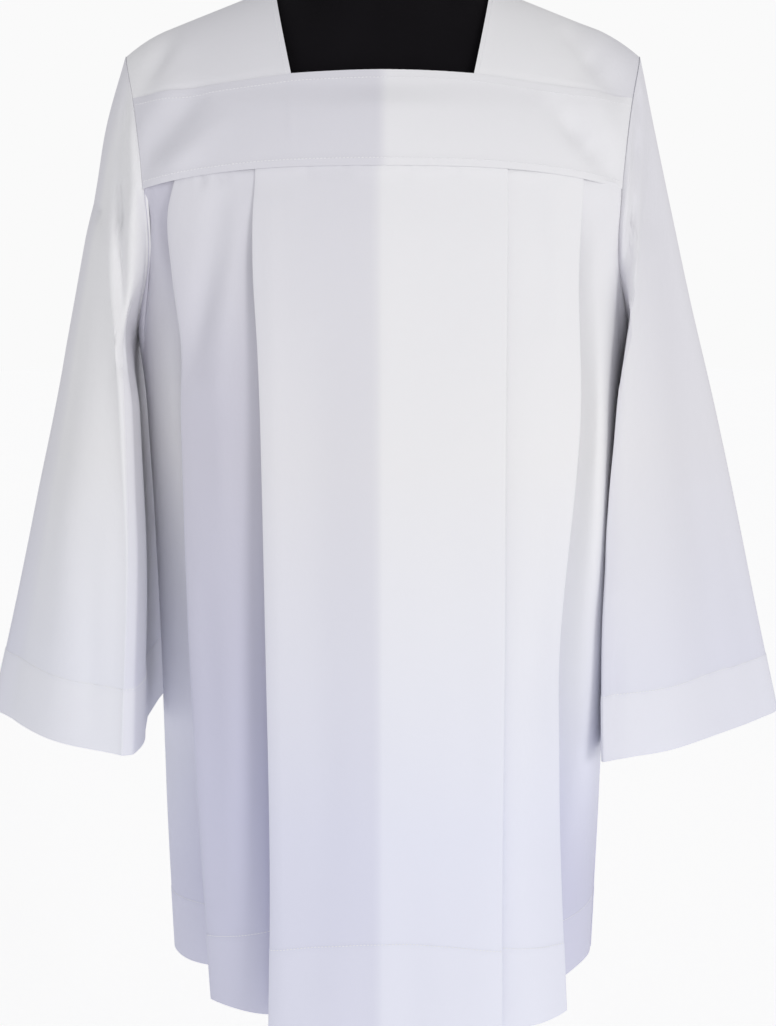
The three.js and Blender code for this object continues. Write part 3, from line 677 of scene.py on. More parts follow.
def panel_column(face, side, station, inset, slide, down):
    """The points of one column of half a panel, from its top edge to the hem."""
    top = top_edge(face, side, station)
    hem = HEM_Z + hem_drop(face, side, station)
    z = lerp(top[2], hem, down)
    step = 0.02
    ahead = outer_line(face, side, min(SIDE_STATION, station + step), z)
    behind = outer_line(face, side, max(0, station - step), z)
    along = unit(ahead - behind)
    inwards = np.stack([face * along[:, 1], -face * along[:, 0]], -1)
    at_top = outer_line(face, side, station, top[2:3])[0]
    hold = ((1 - smooth((top[2] - z) / SEAM_REACH)) ** 2)[:, None]
    here = outer_line(face, side, station, z) + (top[:2] - at_top) * hold
    x = side * here[:, 0]
    away = top[2] - z
    raised = relief(PANEL_CREASES, face, x, z) * smooth(away / 14)
    if station <= CORNER_STATION:
        seam = away - TUCKED
        raised = raised + puckers(x, seam) + dimples(face, x, seam) - 0.6 * (1 - smooth(seam / 2.5))
    raised = raised + swell(face, x, z) + centre_crease(x, z)
    raised = raised + lip(above_hem(face, x, z), HEM_DEPTH, 0.5)
    point = here + inwards * (inset(z) - raised)[:, None] + along * slide
    return np.stack([side * point[:, 0], point[:, 1], z], -1)


def above_hem(face, x, z):
    """The height above the hem, less where the turned hem of the middle of the front is deeper."""
    deeper = DEEPER_HEM * np.clip(1 - (x / DEEPER_HALF_WIDTH) ** 2, 0, 1) if face == FRONT else 0
    return z - HEM_Z - deeper


def swell(face, x, z):
    """The slow unevenness of hanging cloth, stronger towards the hem."""
    low = smooth((1230 - z) / 700)
    slow = np.sin(x * 0.052 + z * 0.0021 + face) * np.cos(z * 0.0063 + x * 0.011)
    fine = np.sin(x * 0.139 + z * 0.0058 + 2.1 * face) * np.sin(z * 0.0139 + 0.6)
    return low * (1.1 * slow + 0.35 * fine)


def hem_drop(face, side, station):
    return 1.3 * math.sin(2.3 * station * side + face) + 0.6 * math.sin(6.1 * station * side)


def half_columns(face, side):
    """The columns of half a panel from the centre to the side seam."""
    columns = []

    def opening(fold, z):
        return PANELS[face, side].read(f"open{fold}", z)

    def behind_fold(pleat, station, following):
        if pleat is None:
            return lambda z: np.zeros_like(z)
        fold, tuck = pleat
        t = (station - fold + tuck) / (following - fold + tuck)
        pressed = 2 * LAYER * (1 - smooth((station - fold) / 0.6))
        dip = DIP.get((face, side), BACK_DIP)[fold - 1]
        dip *= math.exp(-(((station - fold) / (0.3 if station > fold else 0.15)) ** 2))
        return lambda z: pressed + dip * smooth((1250 - z) / 60) + opening(fold, z) * (1 - smooth(t))

    def arc(station, first, outwards):
        for turn in np.linspace(0, math.pi, FOLD_STEPS + 1)[1:-1]:
            extra = LAYER / 2 * (1 - math.cos(turn))
            slide = outwards * LAYER * math.sin(turn) / 2
            columns.append((station, lambda z, e=extra: first(z) + e, slide))

    start, covered = 0, None
    for fold, tuck in PLEATS:
        count = max(2, round((fold - start) * PANEL_STEPS))
        for station in np.linspace(start, fold, count + 1):
            columns.append((station, behind_fold(covered, station, fold), 0))
        arc(fold, lambda z: np.zeros_like(z), 1)
        for t in np.linspace(0, 1, TUCK_STEPS + 1):
            columns.append((fold - tuck * t, lambda z, f=fold, t=t: LAYER + opening(f, z) * t, 0))
        arc(fold - tuck, lambda z, f=fold: LAYER + opening(f, z), -1)
        start, covered = fold - tuck, (fold, tuck)
    count = round((SIDE_STATION - start) * PANEL_STEPS * 0.8)
    for station in [*np.linspace(start, SIDE_STATION - 0.04, count), SIDE_STATION]:
        columns.append((station, behind_fold(covered, station, SIDE_STATION), 0))
    return columns


def trimmed(grid):
    """The grid with its first and last columns moved in by half a seam's gap."""
    grid = grid.copy()
    for end, beside in ((0, 1), (-1, -2)):
        way = unit(grid[:, beside] - grid[:, end])
        grid[:, end] += way * SEAM / 2
    return grid


def row_shares(length, fine, coarse, lines=()):
    """Shares of a length, close together at its ends and at the given distances from its end."""
    at, out = 0.0, [0.0]
    while at < length:
        near = min([at, length - at] + [abs(length - at - line) for line in lines])
        at += lerp(fine, coarse, float(smooth(near / 24)))
        out.append(min(at, length))
    if out[-1] - out[-2] < fine / 2:
        out.pop(-2)
    return np.array(out) / length


def hem_marks(distance_from_hem, depth):
    """1 on the doubled hem and 0 above its stitching."""
    return smooth((depth - distance_from_hem) / 1.5 + 0.5)


def panel_grid(face):
    down = row_shares(770, 2.2, 6.5, [HEM_DEPTH + 4, HEM_DEPTH + 24])
    sides = [(RIGHT, *c) for c in reversed(half_columns(face, RIGHT)[1:])]
    sides += [(LEFT, *c) for c in half_columns(face, LEFT)]
    columns = [panel_column(face, side, s, inset, slide, down) for side, s, inset, slide in sides]
    top, middle, low = (
        np.array([PAINTED_SHADE[face, side].read(name, station) for side, station, _, _ in sides])
        for name in ("top", "middle", "low")
    )
    down = down[:, None]
    # Painted shade, blended from the top, middle and low marks down the panel.
    painted_shade = lerp(lerp(top, middle, smooth(down / 0.3)), low, smooth((down - 0.55) / 0.35))
    return trimmed(np.stack(columns, 1)), painted_shade


# ---- The yoke's four pieces ----


def band_grid(face):
    width = float(armhole_x(1332))
    half = np.concatenate([np.linspace(0, NECK_CORNER_X, 27), np.linspace(NECK_CORNER_X, width, 47)[1:]])
    raw = np.concatenate([-half[:0:-1], half])
    up = row_shares(80 if face == FRONT else 118, 2.0, 4.0)
    corner = float(neck_x(strap_seam_z(face, 0.0)))
    raw, up = np.meshgrid(raw, up)
    side = np.where(raw < 0, -1, 1)
    inner = np.abs(raw) * corner / NECK_CORNER_X
    share = (np.abs(raw) - NECK_CORNER_X) / (width - NECK_CORNER_X)
    rise = 3 * (1 - (np.minimum(inner, corner) / corner) ** 2)
    x = inner
    for _ in range(8):
        neckline = strap_seam_z(face, 0.0) + rise
        top = np.where(share > 0, strap_seam_z(face, x) - SEAM / 2, neckline)
        z = lerp(yoke_seam_z(face, x), top, up)
        x = np.where(share > 0, lerp(corner, armhole_x(z), share), inner)
    return np.stack([side * x, yoke_y(face, x, z), z], -1)


def lip(away, width, height):
    """The doubled edge of a piece, a low step at the width from the edge."""
    return height * smooth((width - away) / 2.5 + 0.5)


def shoulder_grid(side):
    along, across = np.meshgrid(np.linspace(-1, 1, 73), np.linspace(0, 1, 37), indexing="ij")
    grids = {}
    for face in (FRONT, BACK):
        x = lerp(NECK_X, TIP_X, across)
        for _ in range(10):
            rise = shoulder_z(x) - ARCH_FOOT_Z
            seam = np.clip((strap_seam_z(face, x) - TUCKED - ARCH_FOOT_Z) / rise, 0, 1)
            turn = np.abs(along) * np.arccos(seam ** (ARCH_POWER / 2))
            z = ARCH_FOOT_Z + rise * np.cos(turn) ** (2 / ARCH_POWER)
            x = lerp(neck_x(z), armhole_x(np.minimum(z, TIP_Z)), across)
        grids[face] = np.stack([side * x, yoke_y(face, x, z), z], -1)
    return np.where((along < 0)[..., None], grids[FRONT], grids[BACK])


def crease_yoke(grid, outward, band):
    """The grid moved along its normals by the yoke's creases, its edges and their puckers."""
    normals = cloth_normals(grid, False) * outward
    x, z = grid[..., 0], grid[..., 2]
    move = np.zeros(x.shape)
    for face in (FRONT, BACK):
        facing = smooth(normals[..., 1] * face * 2.2)
        strap = z - strap_seam_z(face, x)
        soft = relief(YOKE_CREASES, face, x, z) + puckers(x, np.abs(strap), 7.0, 0.3)
        if band:
            foot = z - yoke_seam_z(face, x)
            soft += puckers(x, foot, 9.0, 0.3) + lip(foot, 7.5, 0.35) + lip(-strap, 7.0, 0.3)
            soft += centre_crease(x, z)
        else:
            soft -= 0.8 * (1 - smooth(strap / 2.5))
        move += soft * facing
    edge = (armhole_x(np.minimum(z, TIP_Z)) - np.abs(x)) / 10
    move *= smooth(edge + 0.15)
    if not band:
        move += lip(np.abs(x) - neck_x(z), 6.0, 0.4)
    return grid + normals * move[..., None]


# ---- Sleeves ----


def rounded_polygon(corners, turn):
    """Points of a polygon with rounded corners; corner k is at turn k."""
    n = len(corners)

    def towards(start, end):
        return lerp(corners[start % n], corners[end % n], ROUNDING[start % n])

    near = int(round(turn))
    offset = turn - near
    if abs(offset) <= 0.25:
        t = (offset + 0.25) / 0.5
        k = near % n
        into = lerp(towards(k, k - 1), corners[k], t)
        return lerp(into, lerp(corners[k], towards(k, k + 1), t), t)
    i = int(math.floor(turn)) % n
    return lerp(towards(i, i + 1), towards(i + 1, i), (turn - math.floor(turn) - 0.25) / 0.5)


def head_fold(turn, t):
    """The upright fold beside the armhole: a ridge that the seam holds out, then a valley."""
    start, end = HEAD_FOLD_TURNS
    if not start < turn < end:
        return np.zeros_like(t)
    span = math.sin(math.pi * (turn - start) / (end - start))
    return -span * sum(height * np.exp(-(((t - at) / width) ** 2)) for height, at, width in HEAD_FOLD)


def sleeve_column(side, turn, t):
    """One column of a sleeve, turn from 0 at the outer edge by the front to 1, t down to the hem."""
    table = SLEEVES[side]

    def get(name):
        return table.read(name, t)

    edge = np.stack([get("outerX"), get("outerY"), get("outerZ")], -1)
    inner = np.stack([get("innerX"), 0 * t, get("innerZ")], -1)

    def corner(share, y):
        place = lerp(inner, edge, get(share)[:, None])
        place[:, 1] = get(y)
        return place

    front, back = corner("frontShare", "frontY"), corner("backShare", "backY")
    front[:, 0] -= FOLD_REACH[side].read("reach", t)
    front[:, 1] += FOLD_EASE[side].read("ease", t)
    k = ROUNDING[0] / (4 - ROUNDING[0])
    outer = edge + (edge - (front + back) / 2) * k
    outer[:, 1] = edge[:, 1]

    def between(end, share, bulge):
        place = lerp(end, outer, share)
        place[:, 1] += bulge
        return place

    front_middle = between(front, MID_SHARE[side], -get("frontBulge"))
    back_middle = between(back, 0.5, get("backBulge"))
    cone = rounded_polygon([outer, front_middle, front, inner, back, back_middle], turn * 6)
    flank = math.sin(math.pi * min(1, max(0, turn * 6 - 2)))
    cone[:, 0] -= FLANK_FULLNESS[side] * flank * smooth(t / 0.2)
    seam = round_armhole([turn])[0]
    lowness = (1 - math.cos(2 * math.pi * turn)) / 2
    shift = lerp(edge - edge[:1], inner - inner[:1], lowness)
    shift[:, 1] = 0
    blend = smooth(t / HEAD_BLEND)[:, None]
    point = lerp(seam + shift, cone, blend)
    point[:, 0] += (SEAM + 0.6 + lowness) * (1 - blend[:, 0])
    point[:, 1] += head_fold(turn, t)
    point[:, 0] *= side
    return point


def distance_from_hem(grid):
    """How far each point of a sleeve is from its hem, along its column."""
    steps = steps_along(grid, 0)
    return np.concatenate([steps[::-1].cumsum(0)[::-1], np.zeros((1, grid.shape[1]))])


def sleeve_grid(side):
    t = row_shares(640, 2.2, 6.0, [CUFF_DEPTH])
    turns = np.linspace(0, 1, SLEEVE_COLUMNS + 1)[:-1]
    turns = np.unique(np.concatenate([turns, FOLD_TURNS]))
    grid = np.stack([sleeve_column(side, turn, t) for turn in turns], 1)
    normals = cloth_normals(grid, True) * side
    x, z = grid[..., 0], grid[..., 2]
    move = np.zeros(x.shape)
    for face in (FRONT, BACK):
        facing = smooth(normals[..., 1] * face * 2.2)
        move += relief(SLEEVE_CREASES[side], face, x, z) * facing
    around = turns[None, :] * 2 * math.pi
    low = smooth((t - 0.15) / 0.6)[:, None]
    move += low * (0.8 * np.sin(5 * around + 3 * t[:, None] + side) + 0.35 * np.sin(11 * around + 2 * side))
    move *= smooth(t / 0.02)[:, None]
    move += lip(distance_from_hem(grid), CUFF_DEPTH, 0.5)
    grid = grid + normals * move[..., None]
    in_front = smooth((-20 - grid[..., 1]) / 20) * smooth(t / 0.02)[:, None]
    grid[..., 1] -= relief(HEAD_CREASES[side], FRONT, grid[..., 0], grid[..., 2]) * in_front
    return np.concatenate([tucked_head(grid[0], side, turns), grid]), turns


def tucked_head(edge, side, turns):
    """Two rows that carry a sleeve's head in under the edge of the body."""
    seam = round_armhole(turns)
    inwards = unit(np.array([0, 4, ARCH_FOOT_Z]) - seam * (0, 1, 1))
    seam = seam * (side, 1, 1)
    return np.stack([seam + inwards * 1.5 - (side * 3.0, 0, 0), lerp(seam, edge, 0.5) + inwards * 0.9])


# ---- The dress form and its stand ----


def under_yoke(depth, face, x, z):
    """A form depth kept clear of the yoke over it."""
    clear = 0.9 * np.abs(yoke_y(face, np.abs(x) + 6, z))
    reach = 0 if z > NECK_Z else smooth((np.abs(x) - 36) / 24)
    return lerp(depth, np.minimum(depth, clear), reach)


def form_ring(z, half_width, front, back, power, steps):
    c, s, _ = level_circle(1, z, steps).T
    x = half_width * np.sign(c) * np.abs(c) ** (2 / power)
    y = np.abs(s) ** (2 / power)
    y = np.where(s < 0, -under_yoke(front * y, FRONT, x, z), under_yoke(back * y, BACK, x, z))
    return np.stack([x, y, np.full(steps, z)], -1)


def closed_loft(name, rings, material, sharp=60):
    """A closed solid through level rings, lowest first, with arc-length coordinates."""
    rings = np.asarray(rings)
    count, size = rings.shape[:2]
    points = np.concatenate([rings.reshape(-1, 3), [rings[0].mean(0)], [rings[-1].mean(0)]])
    u = running(steps_along(np.concatenate([rings, rings[:, :1]], 1), 1).max(0))
    v = running(steps_along(rings, 0).mean(1))
    faces, uvs = (np.roll(part[:, ::-1], 1, 1) for part in grid_faces(rings, True, u, v))
    faces, uvs = faces.tolist(), uvs.reshape(-1, 2).tolist()
    for row, tip, flip in ((0, count * size, True), (count - 1, count * size + 1, False)):
        for j in range(size):
            a, b = row * size + j, row * size + (j + 1) % size
            order = (tip, b, a) if flip else (tip, a, b)
            faces.append(order)
            uvs += [points[p][:2] for p in order]
    return add_mesh(name, points, faces, material, np.array(uvs), sharp=sharp)


def lathe(name, profile, steps=96, rounds=1.2):
    """A turned steel solid from (radius, height) corners, each rounded a little."""
    outline = [profile[0]]
    for a, b, c in zip(profile, profile[1:], profile[2:]):
        a, b, c = np.array(a, float), np.array(b, float), np.array(c, float)
        reach = min(rounds, np.linalg.norm(b - a) * 0.45, np.linalg.norm(c - b) * 0.45)
        p, q = b + unit(a - b) * reach, b + unit(c - b) * reach
        for t in (0, 0.33, 0.67, 1):
            outline.append(tuple(lerp(lerp(p, b, t), lerp(b, q, t), t)))
    outline.append(profile[-1])
    rings = [level_circle(radius, z, steps) for radius, z in outline if radius > 0.01]
    return closed_loft(name, rings, finish_of("Black steel"), 45)


# ---- Shader graphs ----


class Value:
    """A number socket of a shader graph. Arithmetic on it adds Math nodes."""

    def __init__(self, graph, socket):
        self.graph = graph
        self.socket = socket

    def math(self, operation, *others, clamp=False):
        sockets = dict(enumerate((self, *others)))
        node = self.graph.node("ShaderNodeMath", {"operation": operation, "use_clamp": clamp}, sockets)
        return Value(self.graph, node.outputs[0])

    def __add__(self, other):
        return self.math("ADD", other)

    __radd__ = __add__

    def __mul__(self, other):
        return self.math("MULTIPLY", other)

    __rmul__ = __mul__

    def __sub__(self, other):
        return self.math("SUBTRACT", other)

    def __rsub__(self, other):
        return (self * -1) + other

    def sine(self):
        return self.math("SINE")

    def absolute(self):
        return self.math("ABSOLUTE")

    def clamped(self):
        return self.math("ADD", 0.0, clamp=True)


class Graph:
    """A material's node tree, with its Principled shader."""

    def __init__(self, name, constants):
        self.material = bpy.data.materials.new(name)
        self.material.use_nodes = True
        self.tree = self.material.node_tree
        self.shader = self.tree.nodes["Principled BSDF"]
        for socket, value in constants.items():
            self.shader.inputs[socket].default_value = value

    def node(self, kind, settings=None, sockets=None):
        node = self.tree.nodes.new(kind)
        for key, value in (settings or {}).items():
            setattr(node, key, value)
        for key, value in (sockets or {}).items():
            if isinstance(value, Value):
                value = value.socket
            if isinstance(value, bpy.types.NodeSocket):
                self.tree.links.new(value, node.inputs[key])
            else:
                node.inputs[key].default_value = value
        return node

    def value(self, node, output):
        return Value(self, node.outputs[output])

    def axes(self, vector):
        split = self.node("ShaderNodeSeparateXYZ", sockets={0: vector})
        return tuple(self.value(split, i) for i in range(3))

    def place(self):
        return self.node("ShaderNodeTexCoord").outputs["Object"]

    def cut(self):
        return self.node("ShaderNodeUVMap", {"uv_map": "Cut"}).outputs[0]

    def noise(self, vector, scale, detail=3.0, roughness=0.5):
        sockets = {"Vector": vector, "Scale": scale, "Detail": detail, "Roughness": roughness}
        return self.value(self.node("ShaderNodeTexNoise", sockets=sockets), 0)

    def stretch(self, vector, scale):
        node = self.node("ShaderNodeVectorMath", {"operation": "MULTIPLY"}, {0: vector, 1: scale})
        return node.outputs[0]

    def mark(self, name):
        return self.value(self.node("ShaderNodeAttribute", {"attribute_name": name}), "Fac")

    def mix(self, factor, a, b):
        node = self.node("ShaderNodeMix", {"data_type": "RGBA"}, {0: factor, 6: a, 7: b})
        return node.outputs[2]

    def bump(self, height, distance, strength, normal=None):
        sockets = {"Height": height, "Distance": distance, "Strength": strength}
        if normal is not None:
            sockets["Normal"] = normal
        return self.node("ShaderNodeBump", sockets=sockets).outputs[0]

    def feed(self, **links):
        for name, value in links.items():
            socket = value.socket if isinstance(value, Value) else value
            self.tree.links.new(socket, self.shader.inputs[name.replace("_", " ")])
        return self.material


def rgba(colour, gain=1.0):
    return (*(min(1.0, c * gain) for c in colour), 1.0)


def white_cloth(g, finish):
    """Bleached plain weave with a slightly whiter doubled hem, painted violet shade in folds and on faces
    turned from the light, and painted cool shade low down.
    """
    cut = g.cut()
    u, v, _ = g.axes(cut)
    pitch = 2 * math.pi / 0.00062
    weave = (u * pitch).sine() * (v * pitch).sine()
    slub = g.noise(g.stretch(cut, (2600.0, 160.0, 1.0)), 1.0, 2.0)
    crumple = g.noise(cut, 38.0, 3.0, 0.55)
    clouds = g.noise(g.place(), 5.5, 2.0, 0.5)
    tone = (clouds - 0.5) * 0.5 + 0.5
    colour = g.mix(tone.clamped(), rgba(finish.cloth_shade), rgba(finish.cloth_colour))
    # Painted shade: the colour goes towards a darker violet where the cloth lies in shade.
    colour = g.mix(g.mark("painted_shade").clamped(), colour, rgba(finish.cloth_painted_shade))
    # Painted cool shade on the cloth lower than about a metre above the floor.
    height = g.axes(g.place())[2]
    low = ((1.02 - height) * 3).clamped()
    colour = g.mix(low, colour, g.stretch(colour, finish.cloth_painted_low_shade))
    colour = g.mix((g.mark("hem") * 0.3).clamped(), colour, rgba(finish.cloth_hem))
    grain = g.bump(weave * 0.5 + slub, 0.00004, 0.35)
    soft = g.bump(crumple, 0.0009, 0.5, grain)
    return g.feed(Base_Color=colour, Roughness=0.78 + (slub - 0.5) * 0.1, Normal=soft)


def white_thread(g, finish):
    """Twisted white sewing thread."""
    x, y, z = g.axes(g.place())
    twist = ((x + y + z) * (2 * math.pi / 0.0007)).sine()
    tone = (twist * 0.2 + 0.5).clamped()
    colour = g.mix(tone, rgba(finish.cloth_shade), rgba(finish.cloth_hem))
    return g.feed(Base_Color=colour, Roughness=0.55 + twist * 0.05)


def black_cover(g, finish):
    """The dress form's black knitted cover."""
    u, v, _ = g.axes(g.cut())
    ribs = (u * (2 * math.pi / 0.0011)).sine().absolute()
    loops = (v * (2 * math.pi / 0.0009)).sine() * 0.3
    lint = g.noise(g.place(), 420.0, 2.0)
    tone = (g.noise(g.place(), 14.0, 3.0) * 0.7 + lint * 0.3).clamped()
    colour = g.mix(tone, rgba(finish.cover_colour), rgba(finish.cover_light))
    bump = g.bump(ribs + loops, 0.00012, 0.5)
    return g.feed(Base_Color=colour, Roughness=0.82 + (lint - 0.5) * 0.2, Normal=bump)


def black_steel(g, finish):
    """Black satin powder coat."""
    peel = g.noise(g.place(), 900.0, 2.0)
    worn = g.noise(g.place(), 9.0, 4.0, 0.6)
    colour = g.mix(worn.clamped(), rgba(finish.steel_colour), rgba(finish.steel_colour, 1.8))
    bump = g.bump(peel, 0.00006, 0.35)
    return g.feed(Base_Color=colour, Roughness=0.36 + worn * 0.18, Normal=bump)


def studio_floor(g, finish):
    """Plain pale studio floor."""
    mottle = g.noise(g.place(), 3.0, 3.0)
    colour = g.mix(mottle.clamped(), rgba(finish.floor_colour), rgba(finish.floor_colour, 0.985))
    return g.feed(Base_Color=colour, Roughness=0.9 + (mottle - 0.5) * 0.1)


MATERIALS = {  # each with the function that draws it, and the constants of its shader
    "White cloth": (white_cloth, {"Sheen Weight": 0.12, "Sheen Roughness": 0.45, "Specular IOR Level": 0.22}),
    "White thread": (white_thread, {"Sheen Weight": 0.1, "Specular IOR Level": 0.35}),
    "Black cover": (black_cover, {"Sheen Weight": 0.0, "Specular IOR Level": 0.08}),
    "Black steel": (black_steel, {"Metallic": 0.0, "Coat Weight": 0.15, "Coat Roughness": 0.3}),
    "Studio floor": (
        studio_floor,
        {"Specular IOR Level": 0.1, "Emission Color": (1.0, 1.0, 1.0, 1.0), "Emission Strength": 0.43},
    ),
}


def finish_of(name):
    """The material of that name, drawn when it is first asked for."""
    if name in bpy.data.materials:
        return bpy.data.materials[name]
    draw, constants = MATERIALS[name]
    return draw(Graph(name, constants), bpy.context.scene.rochet_finish)


# ---- Settings ----


def number(name, description, default, **limits):
    return FloatProperty(name=name, description=description, default=default, **limits)


def length(name, description, default, low=0.0, high=3.0):
    return number(name, description, default, min=low, max=high, subtype="DISTANCE", unit="LENGTH")


def colour(name, description, default):
    limits = {"size": 3, "min": 0.0, "max": 1.2, "subtype": "COLOR"}
    return FloatVectorProperty(name=name, description=description, default=default, **limits)


class RochetCut(bpy.types.PropertyGroup):
    """Sizes of the sewing that the cut leaves open."""

    cloth_thickness: length("Cloth thickness", "Thickness of the finished cloth", 0.0007, 0.0004, 0.003)
    stitch_pitch: length("Stitch pitch", "Length from one stitch to the next", 0.0032, 0.002, 0.006)


class RochetFinish(bpy.types.PropertyGroup):
    """Colours of the cloth, the form and the floor."""

    cloth_colour: colour("Cloth", "Bleached white cloth", (0.875, 0.87, 0.885))
    cloth_shade: colour("Cloth, shaded", "The duller tone in the cloth's slow variation", (0.84, 0.84, 0.87))
    # Painted shade: the darker violet put into folds and on faces turned from the light.
    cloth_painted_shade: colour("Cloth, painted shade", "Painted violet shade in folds and on faces turned from the light", (0.62, 0.61, 0.7))
    # Painted cool shade, low on the cloth towards the floor.
    cloth_painted_low_shade: colour("Cloth, painted low shade", "Painted cool shade on the cloth towards the floor", (0.955, 0.975, 1.07))
    cloth_hem: colour("Cloth, doubled", "The whiter look of a doubled hem", (0.885, 0.885, 0.91))
    cover_colour: colour("Form cover", "The black knitted cover", (0.0035, 0.003, 0.004))
    cover_light: colour("Form cover, light", "The cover's lighter fuzz", (0.008, 0.007, 0.009))
    steel_colour: colour("Stand", "Powder-coated steel", (0.02, 0.02, 0.022))
    floor_colour: colour("Floor", "Plain pale floor", (0.93, 0.93, 0.93))


class RochetStudio(bpy.types.PropertyGroup):
    """The camera and the lights."""

    camera_height: length("Camera height", "Height of the lens above the floor", 1.28)
    camera_distance: length("Camera distance", "Distance of the lens in front of the form", 1.56)
    camera_aside: length("Camera aside", "How far the lens stands to the wearer's left", 0.0047, -1.0, 1.0)
    camera_tilt: number(
        "Camera tilt", "How far the camera looks down", math.radians(12), subtype="ANGLE", unit="ROTATION"
    )
    lens: number("Lens", "Focal length on a 36 mm frame", 58.5, unit="CAMERA")
    key_strength: number("Key", "Strength of the key light", 0.72, min=0.0)
    front_strength: number("Front", "Strength of the front light", 0.22, min=0.0)
    fill_strength: number("Fill", "Strength of the cool fill", 0.12, min=0.0)
    surround: number("Surround", "Brightness of the white surround", 0.956, min=0.0)
    surround_light: number("Surround light", "How strongly the surround lights the piece", 0.5, min=0.0)


# ---- Operators ----


class Maker:
    """What the operators that build pieces share."""

    bl_options = {"REGISTER", "UNDO"}

    @staticmethod
    def finish_piece(obj, node, slot):
        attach(obj, "root")
        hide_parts(node)

    def cloth(self, node, grid, outward, painted_shade, hem=0.0, looped=False):
        """Add the cloth in a solid's place, and give it with its outer skin and normals."""
        # The hem mark whitens the doubled hem; the other mark carries the painted shade.
        marks = {"hem": hem, "painted_shade": painted_shade}
        marks = {mark: np.broadcast_to(values, grid.shape[:2]) for mark, values in marks.items()}
        made = cloth_object(f"cloth_{node}", grid, outward, looped, marks)
        self.finish_piece(made[0], node, "white_cloth")
        return made


class ROCHET_OT_panels(Maker, bpy.types.Operator):
    """Build the pleated front and back with their hem stitching"""

    bl_idname = "rochet.panels"
    bl_label = "Front and back"

    def execute(self, context):
        for face, name in FACE_NAME.items():
            grid, painted_shade = panel_grid(face)
            from_hem = above_hem(face, grid[..., 0], grid[..., 2])
            obj, skin, normals = self.cloth(name, grid, face, painted_shade, 0.25 * hem_marks(from_hem, HEM_DEPTH))
            path, out = level_line(skin, normals, from_hem, HEM_DEPTH)
            stitching = stitch_row(f"stitch_{name}_hem", path, out)
        return {"FINISHED"}


class ROCHET_OT_yoke(Maker, bpy.types.Operator):
    """Build the yoke's front and back bands with their topstitching"""

    bl_idname = "rochet.yoke"
    bl_label = "Yoke bands"

    def execute(self, context):
        for face, name in FACE_NAME.items():
            grid = crease_yoke(band_grid(face), -face, band=True)
            # Painted shade: the front band darker on the wearer's right half, away from the key light.
            painted_shade = 0.08 + 0.42 * smooth(0.5 - grid[..., 0] / 12) if face == FRONT else 0.1
            obj, skin, normals = self.cloth(f"yoke_{name}", grid, -face, painted_shade)
            stitching = [
                stitch_row(f"stitch_yoke_{name}_{i}", skin[row], normals[row])
                for i, row in enumerate((3, grid.shape[0] - 4))
            ]
        return {"FINISHED"}


class ROCHET_OT_shoulders(Maker, bpy.types.Operator):
    """Build the two shoulder pieces"""

    bl_idname = "rochet.shoulders"
    bl_label = "Shoulder pieces"

    def execute(self, context):
        for side, name in SIDE_NAME.items():
            grid = crease_yoke(shoulder_grid(side), side, band=False)
            from_tip = smooth((TIP_X - np.abs(grid[..., 0])) / 70)
            # Painted shade on the shoulder pieces: darker towards the neck on the right, towards the tip on
            # the left.
            painted_shade = 0.25 * from_tip if side == RIGHT else 0.4 * (1 - from_tip)
            obj, skin, normals = self.cloth(f"shoulder_{name}", grid, side, painted_shade)
            edge = stitch_row(f"stitch_neck_{name}", skin[:, 1], normals[:, 1])
        return {"FINISHED"}


class ROCHET_OT_sleeves(Maker, bpy.types.Operator):
    """Build the two open bell sleeves with their cuff stitching"""

    bl_idname = "rochet.sleeves"
    bl_label = "Sleeves"

    def execute(self, context):
        for side, name in SIDE_NAME.items():
            grid, turns = sleeve_grid(side)
            from_hem = distance_from_hem(grid)
            # Painted shade round the sleeve by turn, and the whiter doubled cuff.
            painted_shade, hem = SLEEVE_PAINTED_SHADE[side].read("mark", turns), hem_marks(from_hem, CUFF_DEPTH)
            obj, skin, normals = self.cloth(f"sleeve_{name}", grid, side, painted_shade, hem, looped=True)
            path, out = level_line(skin, normals, from_hem, CUFF_DEPTH, looped=True)
            cuff = stitch_row(f"stitch_cuff_{name}", path, out)
        return {"FINISHED"}


class ROCHET_OT_form(Maker, bpy.types.Operator):
    """Build the covered dress form and its neck cap"""

    bl_idname = "rochet.form"
    bl_label = "Dress form"

    def execute(self, context):
        steps = 128
        levels = np.unique(np.concatenate([np.arange(FORM_FOOT_Z, FORM_TOP_Z, 6.0), FORM.rows[:, 0]]))
        rings = []
        for z in levels:
            sizes = [float(FORM.read(name, z)) for name in FORM.names[1:]]
            rings.append(self.with_seams(form_ring(float(z), *sizes, steps)))
        rings = [self.shrunk(rings[0], 6, 0), self.shrunk(rings[0], 1.5, 1), *rings[1:]]
        obj = closed_loft("dress_form", rings, finish_of("Black cover"))
        self.finish_piece(obj, "form_torso", "black_cover")
        top = FORM_TOP_Z + SEAM
        profile = [(0, top), (57, top), (57, top + 9), (52, top + 14), (44, top + 16), (0, top + 16)]
        cap = lathe("form_cap", profile, rounds=2.0)
        self.finish_piece(cap, "form_neck_cap", "black_steel")
        return {"FINISHED"}

    @staticmethod
    def with_seams(ring):
        """The ring with a shallow groove at the centre front, centre back and both sides."""
        x, y = ring[:, 0], ring[:, 1]
        front = np.exp(-(((x + 3) / 2.2) ** 2))
        side = np.exp(-(((y - 2) / 2.2) ** 2)) * (np.abs(x) > 60)
        ring = ring.copy()
        ring[:, 1] -= np.sign(y) * 0.9 * front
        ring[:, 0] -= np.sign(x) * 0.7 * side
        return ring

    @staticmethod
    def shrunk(ring, by, rise):
        centre = ring.mean(0)
        away = ring - centre
        out = centre + away * (1 - by / np.linalg.norm(away, axis=1, keepdims=True))
        out[:, 2] = ring[:, 2] + rise
        return out


